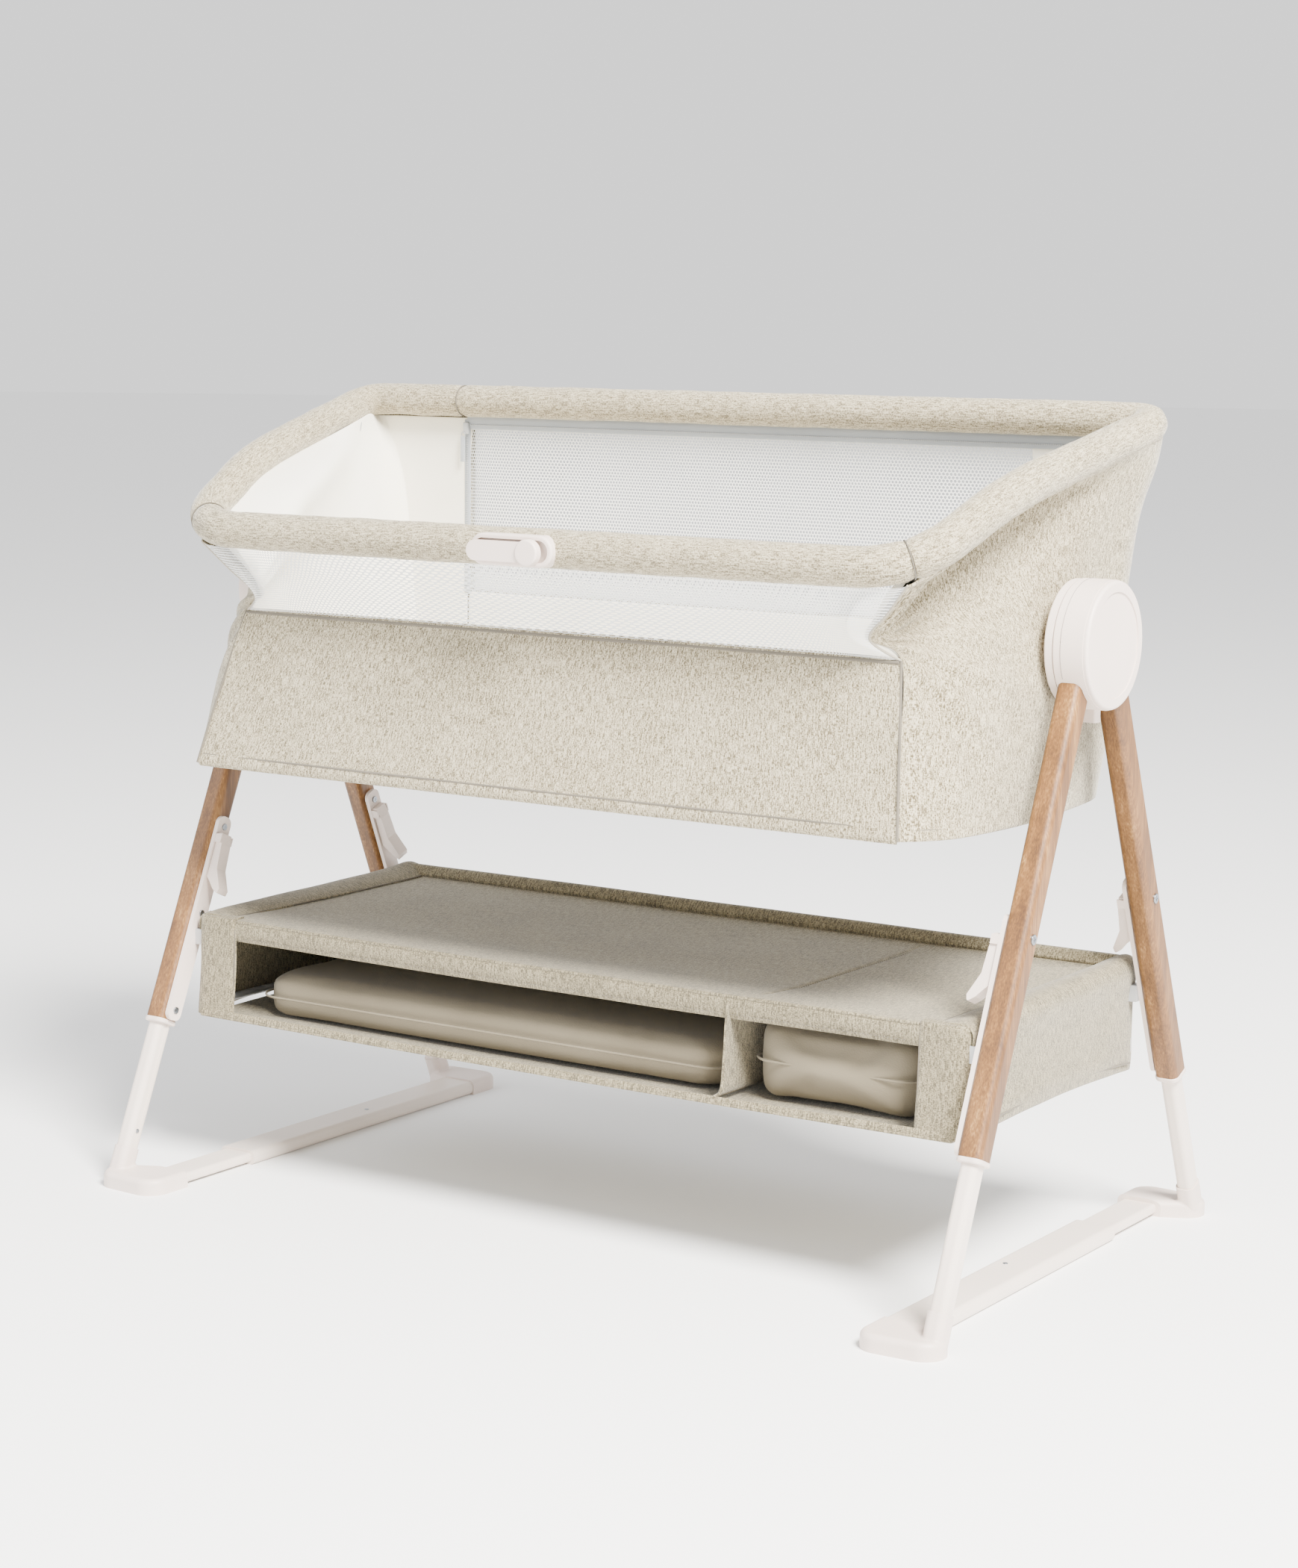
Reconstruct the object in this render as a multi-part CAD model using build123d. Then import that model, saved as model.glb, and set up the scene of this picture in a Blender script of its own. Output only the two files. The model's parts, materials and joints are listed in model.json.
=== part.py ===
from build123d import *
from math import cos, radians, sin, tan
import os

# Bassinet on a folding-height stand, shown with its front rail lowered.
# Millimetres. X runs along the bassinet, -Y is the front, Z is up.
# The origin is on the floor, midway between the four feet.

# Stand
HUB_Z = 602.0            # height of the hub axis
HUB_FACE_X = 499.0       # outer face of a hub cap
HUB_RADIUS = 60.0
HUB_CAP_DEPTH = 5.0
HUB_BODY_DEPTH = 30.0
HUB_FLANGE_DEPTH = 8.5
LEG_X = HUB_FACE_X - 22.0   # plane of the legs
LEG_TILT = 22.96         # lean of a leg from vertical, degrees
LEG_HUB_Y = 23.0         # leg axis offset at the hub axis height
LEG_TOP_Z = HUB_Z - 12.0
FOOT_Y = LEG_HUB_Y + HUB_Z * tan(radians(LEG_TILT))   # leg axis at the floor
WOOD_SECTION = (24.0, 27.0, 7.0)
WOOD_END_Z = 161.8
COLLAR_LENGTH = 5.0
TUBE_SECTION = (17.0, 21.0, 6.0)
TUBE_WALL = 2.0
TUBE_INSERT = 120.0      # length of lower tube hidden in the wooden leg
RUNNING_GAP = 0.1
FOOT_SEAM_Z = 35.4
FOOT_HEIGHT = 16.6
BAR_X = LEG_X - 45.0
BAR_START_Y = FOOT_Y - 31.0   # where a foot hands over to its floor bar
SLEEVE_SECTION = (45.6, 15.2, 6.0)
SLEEVE_END_Y = BAR_START_Y - 106.0
BAR_TUBE_SECTION = (37.0, 10.4, 4.0)
BAR_TUBE_INSERT = 150.0

# Height brackets on the inner faces of the legs
PLATE_THICK = 4.5
PLATE_WIDTH = 20.0
PLATE_TOP_Z = 366.0
PLATE_END_Z = 162.0
TRIGGER_TOP_Z = PLATE_TOP_Z - 21.0
TRIGGER_WIDTH = 15.0

# Storage shelf
SHELF_X = LEG_X - 36.0
SHELF_TOP_Z = 268.0
SHELF_BASE_Z = 166.0
SADDLE_Z = SHELF_TOP_Z - 22.0
SADDLE_SIZE = 16.0
SHELF_FRONT_Y = LEG_HUB_Y + (HUB_Z - SADDLE_Z) * tan(radians(LEG_TILT)) - 0.8
SHELF_BASE_Y = SHELF_FRONT_Y + 9.0
CLOTH = 4.0
DIVIDER_X = 198.0
WIRE_RADIUS = 4.0
PAD_END_GAP = 45.0       # room between a stowed pad and the end of the shelf
LONG_PAD_HEIGHT = 44.0
FOLDED_PAD_HEIGHT = SHELF_TOP_Z - SHELF_BASE_Z - 26.0

# Rim of the bassinet: centre line of its padded tube
RIM_BACK = (LEG_X - 2.0, 134.8, HUB_Z + 201.0)
RIM_BEND = (LEG_X - 37.6, -102.2, HUB_Z + 140.3)
RIM_FRONT = (LEG_X - 66.0, -231.5, HUB_Z + 76.6)
RIM_PIVOT_Y = 80.0
BACK_PAD_RADIUS = 17.0
FRONT_PAD_RADIUS = 18.5
FRAME_RADIUS = 7.0
SEAM_X = RIM_FRONT[0] - 7.0   # seam between the front and side padding

# Tub outlines, right half from front to back
BASE_Z = HUB_Z - 162.0
WAIST_Z = HUB_Z - 8.0
TUB_BACK_Y = RIM_BACK[1] + 15.2
BASE_OUTLINE = [(LEG_X - 73, -231), (LEG_X - 34, -150), (LEG_X - 41, 60), (LEG_X - 49, TUB_BACK_Y)]
WAIST_OUTLINE = [(LEG_X - 99, -184), (LEG_X - 41, -122), (LEG_X - 28, 30), (LEG_X - 27, TUB_BACK_Y)]
PANEL_THICK = 3.0
FLOOR_THICK = 5.0
MATTRESS_THICK = 35.0
MOUNT_X = LEG_X - 40.0   # outer face of the hub mount inside an end panel
STRUT_RADIUS = 4.5
BASE_TUBE_RADIUS = 6.0

# Latch on the front rail
LATCH_X = 2.0
LATCH_Z = RIM_FRONT[2] - 1.6
LATCH_SIZE = (94.0, 30.0)
LATCH_FACE_Y = RIM_FRONT[1] - 25.0
LEVER_X = 25.0

SIDES = {"left": -1, "right": 1}
ENDS = {"front": -1, "back": 1}


def leg_point(side, end, z):
    """Point on a leg's axis at one height."""
    return (side * LEG_X, end * (LEG_HUB_Y + (HUB_Z - z) * tan(radians(LEG_TILT))), z)


def leg_plane(side, end, z):
    """Section plane across a leg, its normal pointing up the leg."""
    tilt = radians(LEG_TILT)
    return Plane(origin=leg_point(side, end, z), x_dir=(1, 0, 0), z_dir=(0, -end * sin(tilt), cos(tilt)))


def leg_length(z_low, z_high):
    return (z_high - z_low) / cos(radians(LEG_TILT))


def leg_bar(side, end, z_low, z_high, section, grow=0.0):
    """Rounded bar along a leg between two heights."""
    width, depth, radius = section
    face = RectangleRounded(width + 2 * grow, depth + 2 * grow, radius + grow)
    return extrude(leg_plane(side, end, z_low) * face, leg_length(z_low, z_high))


def hub_plane(side, x):
    """Plane across a hub axis, its normal pointing outward."""
    return Plane(origin=(side * x, 0, HUB_Z), x_dir=(0, side, 0), z_dir=(side, 0, 0))


def disc(side, x_inner, x_outer, radius):
    return extrude(hub_plane(side, x_inner) * Circle(radius), x_outer - x_inner)


def box_between(low, high):
    """Box from its low corner to its high corner."""
    size = [h - l for l, h in zip(low, high)]
    middle = [(h + l) / 2 for l, h in zip(low, high)]
    return Pos(*middle) * Box(*size)


def bent_wire(points, reaches):
    """Wire of straight runs joined by smooth bends that start at each reach from its corner."""
    corners = [Vector(*p) for p in points]
    edges = []
    start = corners[0]
    for before, corner, after, reach in zip(corners, corners[1:], corners[2:], reaches):
        enter = corner + (before - corner).normalized() * reach
        leave = corner + (after - corner).normalized() * reach
        edges += [Line(start, enter), Bezier(enter, corner, leave)]
        start = leave
    edges.append(Line(start, corners[-1]))
    return Wire(edges)


def tube_along(path, radius, start_direction):
    """Round bar swept along a wire."""
    plane = Plane(origin=path @ 0, z_dir=start_direction)
    return sweep(plane * Circle(radius), path=path)


# ---------------------------------------------------------------- stand

def wooden_leg(side, end):
    leg = leg_bar(side, end, WOOD_END_Z, LEG_TOP_Z, WOOD_SECTION)
    top = leg.faces().sort_by(Axis.Z)[-1]
    leg = fillet(top.edges(), 5.0)
    bore_top = WOOD_END_Z + 230.0
    return leg - leg_bar(side, end, WOOD_END_Z - 1, bore_top, TUBE_SECTION, RUNNING_GAP)


def leg_collar(side, end):
    low = WOOD_END_Z - COLLAR_LENGTH * cos(radians(LEG_TILT))
    ring = leg_bar(side, end, low, WOOD_END_Z, WOOD_SECTION, 0.8)
    ring = fillet(ring.faces().sort_by(Axis.Z)[0].edges(), 1.5)
    return ring - leg_bar(side, end, low - 5, WOOD_END_Z + 5, TUBE_SECTION, RUNNING_GAP)


def leg_tube(side, end):
    """Lower tube: hollow, with a shallow groove down its inboard face."""
    top = WOOD_END_Z + TUBE_INSERT * cos(radians(LEG_TILT))
    tube = leg_bar(side, end, FOOT_SEAM_Z, top, TUBE_SECTION)
    tube -= leg_bar(side, end, FOOT_SEAM_Z - 5, top + 5, TUBE_SECTION, -TUBE_WALL)
    inboard = -side * TUBE_SECTION[0] / 2
    groove = leg_plane(side, end, FOOT_SEAM_Z + 6) * Pos(inboard, 0) * Rectangle(1.6, 5.0)
    return tube - extrude(groove, leg_length(FOOT_SEAM_Z, top - 20))


def foot(side, end):
    """Foot that turns from the leg, round its nose, and in to the floor bar."""
    nose = 21.0
    half = SLEEVE_SECTION[0] / 2 + 1.0
    rounds = [(BAR_X - half + nose, FOOT_Y + 1.0), (LEG_X + 12.0 - nose, FOOT_Y - 1.0)]
    edges = ShapeList()
    for x, y in rounds:
        edges += (Pos(x, y) * Circle(nose)).edges()
    edges += Line((BAR_X - half, BAR_START_Y), (BAR_X + half, BAR_START_Y)).edges()
    sole = extrude(make_hull(edges), FOOT_HEIGHT)
    rim = sole.faces().sort_by(Axis.Z)[-1].edges()
    mouth = rim.sort_by(Axis.Y)[0]
    sole = fillet([e for e in rim if e != mouth], 6.0)
    socket = leg_bar(1, 1, -20.0, FOOT_SEAM_Z, TUBE_SECTION, 1.6)
    socket &= box_between((LEG_X - 60, FOOT_Y - 80, 0), (LEG_X + 60, FOOT_Y + 40, FOOT_SEAM_Z + 25))
    shape = sole + socket
    joint = [e for e in shape.edges() if is_foot_joint(e)]
    shape = fillet(joint, 3.0)
    if side * end < 0:
        shape = mirror(shape, Plane.YZ)
    return Rot(0, 0, 0 if end > 0 else 180) * shape


def is_foot_joint(edge):
    """True for the edges where the leg socket meets the top of the sole."""
    box = edge.bounding_box()
    inside = box.min.X > LEG_X - 14 and box.max.X < LEG_X + 14
    return inside and box.min.Z > 1.0 and box.max.Z < FOOT_HEIGHT + 2.0


def bar_solid(side, y_low, y_high, section, grow=0.0):
    """Flat rounded bar along the floor at one end of the stand."""
    width, height, radius = section
    plane = Plane(origin=(side * BAR_X, y_low, SLEEVE_SECTION[1] / 2), x_dir=(1, 0, 0), z_dir=(0, 1, 0))
    face = RectangleRounded(width + 2 * grow, height + 2 * grow, radius + grow)
    return extrude(plane * face, y_high - y_low)


def bar_sleeve(side):
    """Wide bar: from the back foot on the left, and from the front foot on the right."""
    y_low, y_high = sorted((-side * BAR_START_Y, side * SLEEVE_END_Y))
    bore_low = y_low + 20.0 if side > 0 else y_low - 1.0
    bore_high = y_high + 1.0 if side > 0 else y_high - 20.0
    sleeve = bar_solid(side, y_low, y_high, SLEEVE_SECTION)
    return sleeve - bar_solid(side, bore_low, bore_high, BAR_TUBE_SECTION, RUNNING_GAP)


def bar_tube(side):
    """Narrow bar: runs from the other foot into the sleeve."""
    y_low, y_high = sorted((side * BAR_START_Y, side * (SLEEVE_END_Y - BAR_TUBE_INSERT)))
    return bar_solid(side, y_low, y_high, BAR_TUBE_SECTION)


def hub_x():
    """X of the faces between flange, body and cap."""
    cap = HUB_FACE_X - HUB_CAP_DEPTH
    body = cap - HUB_BODY_DEPTH
    return body - 0.5 - HUB_FLANGE_DEPTH, body - 0.5, body, cap


def hub_body(side):
    _, _, x_in, x_cap = hub_x()
    body = disc(side, x_in, x_cap, HUB_RADIUS)
    body = fillet(body.edges().sort_by(Axis.X)[-1 if side < 0 else 0], 1.5)
    for end in ENDS.values():
        body -= leg_bar(side, end, LEG_TOP_Z - 120, LEG_TOP_Z, WOOD_SECTION)
    body -= disc(side, x_in - 1, x_in + 20, 10.0 + 0.05)
    slot = box_between((side * LEG_X - 7.2, -6.2, HUB_Z - 80), (side * LEG_X + 7.2, 6.2, HUB_Z - 38))
    return body - slot


def hub_cap(side):
    """Outer cap with a raised rim round a shallow dish."""
    _, _, _, x_cap = hub_x()
    cap = disc(side, x_cap, HUB_FACE_X, HUB_RADIUS - 0.6)
    cap = fillet(cap.edges().sort_by(Axis.X)[0 if side < 0 else -1], 3.0)
    return cap - disc(side, HUB_FACE_X - 1.4, HUB_FACE_X + 1, HUB_RADIUS - 11.0)


def hub_flange(side):
    """Disc on the bassinet side, with the axle that turns in the hub."""
    x_in, x_out, x_body, _ = hub_x()
    flange = disc(side, x_in, x_out, HUB_RADIUS - 0.8)
    flange = fillet(flange.edges().sort_by(Axis.X)[-1 if side < 0 else 0], 2.0)
    flange += disc(side, x_out - 1, x_body + 18.0, 10.0)
    return flange + disc(side, MOUNT_X, x_in + 1, 14.0)


def hub_release(side):
    button = box_between((side * LEG_X - 7, -6, HUB_Z - 72), (side * LEG_X + 7, 6, HUB_Z - 46))
    return fillet(button.edges().filter_by(Axis.Z), 2.5)


# ---------------------------------------------------------------- brackets

def bracket_face_x():
    return LEG_X - WOOD_SECTION[0] / 2 - PLATE_THICK


def leg_bracket(side, end):
    """Long plate on the inboard face of a leg, with two lugs for its trigger."""
    offset = -side * (WOOD_SECTION[0] + PLATE_THICK) / 2
    section = leg_plane(side, end, PLATE_END_Z) * Pos(offset, 0) * Rectangle(PLATE_THICK, PLATE_WIDTH)
    plate = extrude(section, leg_length(PLATE_END_Z, PLATE_TOP_Z))
    plate = fillet(plate.edges().filter_by(Axis.X), 8.0)
    lug_plane = leg_plane(side, end, TRIGGER_TOP_Z - 6.0)
    for across in (-1, 1):
        place = Pos(offset - side * (PLATE_THICK / 2 + 4.0), across * (TRIGGER_WIDTH / 2 + 1.3))
        plate += extrude(lug_plane * place * Rectangle(8.0, 1.8), 9.0)
    return plate


def trigger(side, end):
    """Finger lever that hangs from the lugs and flares at its lower end."""
    plane = trigger_plane(side, end)
    outline = [(0.6, 4.0), (6.5, 4.0), (9.0, -8.0), (11.0, -34.0), (21.0, -55.0), (19.5, -61.0),
               (12.0, -56.0), (5.0, -48.0), (0.6, -44.0)]
    face = make_face(Polyline(outline, close=True))
    face = fillet(face.vertices().sort_by(Axis.Y)[0:2], 1.2)
    body = extrude(plane * face, TRIGGER_WIDTH / 2, both=True)
    return body


def trigger_plane(side, end):
    """Plane along a leg: x runs inboard from the plate, y runs up the leg."""
    tilt = radians(LEG_TILT)
    x, y, z = leg_point(side, end, TRIGGER_TOP_Z)
    up_leg = Vector(0, -end * sin(tilt), cos(tilt))
    inboard = Vector(-side, 0, 0)
    return Plane(origin=(side * bracket_face_x(), y, z), x_dir=inboard, z_dir=inboard.cross(up_leg))


def screw_head(point, direction, radius, height):
    """Low round head with a cross recess."""
    plane = Plane(origin=point, z_dir=direction)
    head = extrude(plane * Circle(radius), height)
    crown = head.faces().sort_by(Axis(point, direction))[-1]
    head = fillet(crown.edges(), 0.4)
    cross = Rectangle(radius, radius * 0.26) + Rectangle(radius * 0.26, radius)
    return head - extrude(plane.offset(height - 0.5) * cross, 1.0)


def bracket_screws():
    heads = []
    for side in SIDES.values():
        for end in ENDS.values():
            for z in (PLATE_TOP_Z - 10, PLATE_TOP_Z - 97, PLATE_END_Z + 10):
                _, y, z = leg_point(side, end, z)
                heads.append(screw_head((side * bracket_face_x(), y, z), (-side, 0, 0), 3.6, 1.4))
    return Compound(children=heads)


def leg_bolts():
    heads = []
    for side in SIDES.values():
        for end in ENDS.values():
            x, y, z = leg_point(side, end, PLATE_TOP_Z - 18)
            face = side * (LEG_X + WOOD_SECTION[0] / 2)
            heads.append(screw_head((face, y, z), (side, 0, 0), 4.8, 1.6))
    return Compound(children=heads)


# ---------------------------------------------------------------- shelf

def shelf_frame(side):
    """Closed wire loop at one end of the shelf, with saddles that hang it on the brackets."""
    x = side * (SHELF_X + 6.0)
    top_y, top_z = SHELF_FRONT_Y - 13.0, SHELF_TOP_Z - 6.0
    low_y, low_z = SHELF_FRONT_Y, SHELF_BASE_Z + 10.0
    corners = [(x, -top_y, top_z), (x, top_y, top_z), (x, low_y, low_z), (x, -low_y, low_z)]
    start = Vector(x, 0, top_z)
    points = [start, corners[1], corners[2], corners[3], corners[0], start]
    path = bent_wire(points, [18.0] * 4)
    loop = tube_along(path, WIRE_RADIUS, (0, 1, 0))
    for end in ENDS.values():
        y, half = end * (SHELF_FRONT_Y - 7.0), SADDLE_SIZE / 2
        low = (SHELF_X + 8.0, y - half, SADDLE_Z - half)
        high = (bracket_face_x(), y + half, SADDLE_Z + half)
        loop += mirror_to(side, box_between(low, high))
    return loop


def mirror_to(side, shape):
    """Shape as drawn for the right, or mirrored for the left."""
    return shape if side > 0 else mirror(shape, Plane.YZ)


def shelf_sleeve():
    """Top cloth with a turned-down front band, back wall and padded back roll."""
    x = SHELF_X
    deck = box_between((-x, -SHELF_FRONT_Y, SHELF_TOP_Z - CLOTH), (x, SHELF_FRONT_Y, SHELF_TOP_Z))
    band = box_between((-x, -SHELF_FRONT_Y, SHELF_TOP_Z - 20), (x, -SHELF_FRONT_Y + CLOTH, SHELF_TOP_Z))
    wall = box_between((-x, SHELF_FRONT_Y - CLOTH, SHELF_BASE_Z + CLOTH), (x, SHELF_FRONT_Y, SHELF_TOP_Z))
    roll = Pos(0, SHELF_FRONT_Y - 8, SHELF_TOP_Z + 4) * Rot(0, 90, 0) * Cylinder(8.0, 2 * x - 40)
    return deck + band + wall + roll


def shelf_floor():
    low = (-SHELF_X, -SHELF_BASE_Y, SHELF_BASE_Z)
    return box_between(low, (SHELF_X, SHELF_BASE_Y, SHELF_BASE_Z + CLOTH))


def shelf_end(side):
    """Cloth end wall with the corner band that frames the open front."""
    low_z, high_z = SHELF_BASE_Z + CLOTH, SHELF_TOP_Z - CLOTH
    inner = SHELF_X - 3.0
    wall = box_between((inner, -SHELF_FRONT_Y + CLOTH, low_z), (SHELF_X, SHELF_FRONT_Y - CLOTH, high_z))
    band_top = (SHELF_X, -SHELF_FRONT_Y + CLOTH, SHELF_TOP_Z - 20)
    band = box_between((SHELF_X - 42, -SHELF_FRONT_Y, low_z), band_top)
    return mirror_to(side, wall + band)


def shelf_divider():
    low = (DIVIDER_X - 1.5, -SHELF_FRONT_Y + CLOTH, SHELF_BASE_Z + CLOTH)
    return box_between(low, (DIVIDER_X + 1.5, SHELF_FRONT_Y - CLOTH, SHELF_TOP_Z - CLOTH))


def storage_pad(x_low, x_high, height):
    """Stowed soft pad with rounded corners and edges."""
    base = SHELF_BASE_Z + CLOTH
    front, back = SHELF_FRONT_Y - 11.0, SHELF_FRONT_Y - 15.0
    pad = box_between((x_low, -front, base), (x_high, back, base + height))
    pad = fillet(pad.edges().filter_by(Axis.Z), 30.0)
    return fillet(pad.faces().sort_by(Axis.Z)[-1].edges(), height / 3)


# ---------------------------------------------------------------- rim

def rim_pivot(side):
    """Point on the rim centre line where the lowering front part is hinged."""
    share = (RIM_PIVOT_Y - RIM_BEND[1]) / (RIM_BACK[1] - RIM_BEND[1])
    x = RIM_BEND[0] + share * (RIM_BACK[0] - RIM_BEND[0])
    z = RIM_BEND[2] + share * (RIM_BACK[2] - RIM_BEND[2])
    return Vector(side * x, RIM_PIVOT_Y, z)


def rim_slope(side):
    """Unit vector from a pivot toward the back corner."""
    back = Vector(side * RIM_BACK[0], RIM_BACK[1], RIM_BACK[2])
    return (back - rim_pivot(side)).normalized()


def side_points(side, *points):
    return [(side * x, y, z) for x, y, z in points]


def back_path(gap):
    """Rim line from the left pivot round the back to the right pivot."""
    left = rim_pivot(-1) + rim_slope(-1) * gap
    right = rim_pivot(1) + rim_slope(1) * gap
    corners = side_points(-1, RIM_BACK) + side_points(1, RIM_BACK)
    return bent_wire([left, *corners, right], [32.0, 32.0])


def front_path(gap):
    """Rim line from the left pivot round the front to the right pivot."""
    left = rim_pivot(-1) - rim_slope(-1) * gap
    right = rim_pivot(1) - rim_slope(1) * gap
    corners = side_points(-1, RIM_BEND, RIM_FRONT) + side_points(1, RIM_FRONT, RIM_BEND)
    return bent_wire([left, *corners, right], [50.0, 62.0, 62.0, 50.0])


def hinge_room(side):
    """Space kept clear inside the padding round a rim hinge."""
    slope = rim_slope(side)
    plane = Plane(origin=rim_pivot(side) - slope * 14, z_dir=slope)
    return extrude(plane * Circle(13.2), 36.0)


def back_pad():
    pad = tube_along(back_path(3.8), BACK_PAD_RADIUS, rim_slope(-1))
    pad -= tube_along(back_path(1.0), FRAME_RADIUS, rim_slope(-1))
    for side in SIDES.values():
        pad -= hinge_room(side)
        pad -= frame_strut(side)
    return pad


def front_padding():
    """Padding of the whole lowering part, as one hollow roll."""
    pad = tube_along(front_path(3.8), FRONT_PAD_RADIUS, -rim_slope(-1))
    pad -= tube_along(front_path(1.0), FRAME_RADIUS, -rim_slope(-1))
    for side in SIDES.values():
        pad -= hinge_room(side)
    return pad


def front_pad(padding):
    """Front length of the padding, pocketed for the latch."""
    _, y, z = RIM_FRONT
    reach = box_between((-SEAM_X, y - 80, z - 80), (SEAM_X, y + 80, z + 80))
    pad = padding & reach
    return pad - latch_pocket(0.3)


def side_pad(padding, side):
    low = (SEAM_X, RIM_FRONT[1] - 80, RIM_FRONT[2] - 80)
    high = (SEAM_X + 160, RIM_BACK[1] + 80, RIM_BACK[2] + 80)
    return padding & mirror_to(side, box_between(low, high))


def frame_strut(side):
    """Strut from the back rim tube down to the hub mount."""
    top = rim_pivot(side) + rim_slope(side) * 26 - Vector(side * 8, 0, 0)
    foot_point = Vector(side * (MOUNT_X - 10), 14, HUB_Z + 16)
    lean = foot_point - top
    return extrude(Plane(origin=top, z_dir=lean) * Circle(STRUT_RADIUS), lean.length)


def hinge_cheeks(side):
    """Two plates and a pin that carry the lowering frame at one pivot."""
    pivot = rim_pivot(side)
    slope = rim_slope(side)
    cheeks = None
    for across in (-8.6, 8.6):
        plane = Plane(origin=pivot + Vector(across - 1.2, 0, 0), x_dir=(0, 1, 0), z_dir=(1, 0, 0))
        plate = extrude(plane * Circle(6.0), 2.4)
        arm = Vector(0, slope.Y, slope.Z).normalized()
        run = Plane(origin=pivot + Vector(across - 1.2, 0, 0), x_dir=arm, z_dir=(1, 0, 0))
        plate += extrude(run * Pos(9, 0) * Rectangle(18, 8), 2.4)
        cheeks = plate if cheeks is None else cheeks + plate
    bridge = cheek_bridge(pivot, slope)
    pin = Pos(pivot) * Rot(0, 90, 0) * Cylinder(3.5, 19.6)
    return cheeks + bridge + pin


def cheek_bridge(pivot, slope):
    """Block that joins the cheeks to the end of the back tube."""
    arm = Vector(0, slope.Y, slope.Z).normalized()
    plane = Plane(origin=pivot + arm * 15.5 - Vector(9.8, 0, 0), x_dir=arm, z_dir=(1, 0, 0))
    return extrude(plane * Rectangle(5, 8), 19.6)


def back_frame():
    """Steel frame of the tub: rim tube, struts, hub mounts and base loop."""
    frame = tube_along(back_path(14.0), FRAME_RADIUS, rim_slope(-1))
    front, back = BASE_OUTLINE[0][1] + 26.0, TUB_BACK_Y - 24.0
    loop_x = BASE_OUTLINE[3][0] - 20.0
    z = BASE_Z + 13.0
    corners = [(-loop_x, front, z), (loop_x, front, z), (loop_x, back, z), (-loop_x, back, z)]
    start = (-loop_x, 0, z)
    path = bent_wire([start, *corners, start], [45.0] * 4)
    frame += tube_along(path, BASE_TUBE_RADIUS, (0, -1, 0))
    for side in SIDES.values():
        frame += hinge_cheeks(side)
        frame += frame_strut(side)
        frame += disc(side, MOUNT_X - 12, MOUNT_X, 30.0)
        hub_end = Vector(side * (MOUNT_X - 6), 0, HUB_Z - 20)
        drop = Vector(side * loop_x, 0, z) - hub_end
        frame += extrude(Plane(origin=hub_end, z_dir=drop) * Circle(STRUT_RADIUS), drop.length)
    return frame


def front_frame():
    """Steel tube inside the lowering part, with an eye at each pivot."""
    frame = tube_along(front_path(10.0), FRAME_RADIUS, -rim_slope(-1))
    for side in SIDES.values():
        pivot, slope = rim_pivot(side), rim_slope(side)
        eye = Pos(pivot) * Rot(0, 90, 0)
        arm = Vector(0, slope.Y, slope.Z).normalized()
        across = Plane(origin=pivot - Vector(6.5, 0, 0), x_dir=arm, z_dir=(1, 0, 0))
        neck = across * Pos(-6.5, 0) * Rectangle(13, 10)
        frame += extrude(neck, 13.0)
        frame += eye * Cylinder(7.0, 14.0)
        frame -= eye * Cylinder(3.5 + 0.05, 40.0)
    return frame


# ---------------------------------------------------------------- tub

def outline_face(points, z, inset=0.0):
    """Closed tub outline at one height, mirrored left to right, with rounded corners."""
    right = [(x, y) for x, y in points]
    left = [(-x, y) for x, y in reversed(points)]
    face = make_face(Polyline(*right, *left, close=True))
    corners = face.vertices()
    back = corners.sort_by(Axis.Y)[-2:]
    face = fillet(back, 34.0)
    front = face.vertices().sort_by(Axis.Y)[:2]
    face = fillet(front, 12.0)
    if inset:
        face = offset(face, -inset)
    return Pos(0, 0, z) * face


def tub_shell():
    outer = loft([outline_face(BASE_OUTLINE, BASE_Z), outline_face(WAIST_OUTLINE, WAIST_Z)], ruled=True)
    base = outline_face(BASE_OUTLINE, BASE_Z, PANEL_THICK)
    waist = outline_face(WAIST_OUTLINE, WAIST_Z, PANEL_THICK)
    inner = loft([base, waist], ruled=True)
    return outer - inner


def front_side_plane():
    """Plane just behind the front panel."""
    lean = Vector(0, WAIST_OUTLINE[0][1] - BASE_OUTLINE[0][1], WAIST_Z - BASE_Z)
    origin = (0, BASE_OUTLINE[0][1] + 8, BASE_Z)
    return Plane(origin=origin, x_dir=(1, 0, 0), z_dir=Vector(1, 0, 0).cross(lean))


def end_panel_section(y, waist_x, rim_x, rim_z):
    """Section of an end panel above the waist, in a plane across the bassinet."""
    bend = (waist_x + 2.5, HUB_Z + 72)
    outer = [(waist_x, WAIST_Z), bend, (rim_x, rim_z)]
    inner = [(x - PANEL_THICK, z) for x, z in reversed(outer)]
    plane = Plane(origin=(0, y, 0), x_dir=(1, 0, 0), z_dir=(0, -1, 0))
    return make_face(plane * Polyline(*outer, *inner, close=True))


def end_panel_top():
    """Right end panel above the waist, gathered toward the front corner."""
    stations = [(-178, 96, 69, 84), (-100, 39, 36, 116), (0, 30, 19, 144), (76, 28, 3, 162)]
    stations += [(TUB_BACK_Y - 12, 27, -7, 172)]
    sections = []
    for y, waist, rim, rise in stations:
        sections.append(end_panel_section(y, LEG_X - waist, LEG_X - rim, HUB_Z + rise))
    return loft(sections, ruled=True)


def axle_hole(side):
    return disc(side, MOUNT_X - 17, MOUNT_X + 33, 14.3)


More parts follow.
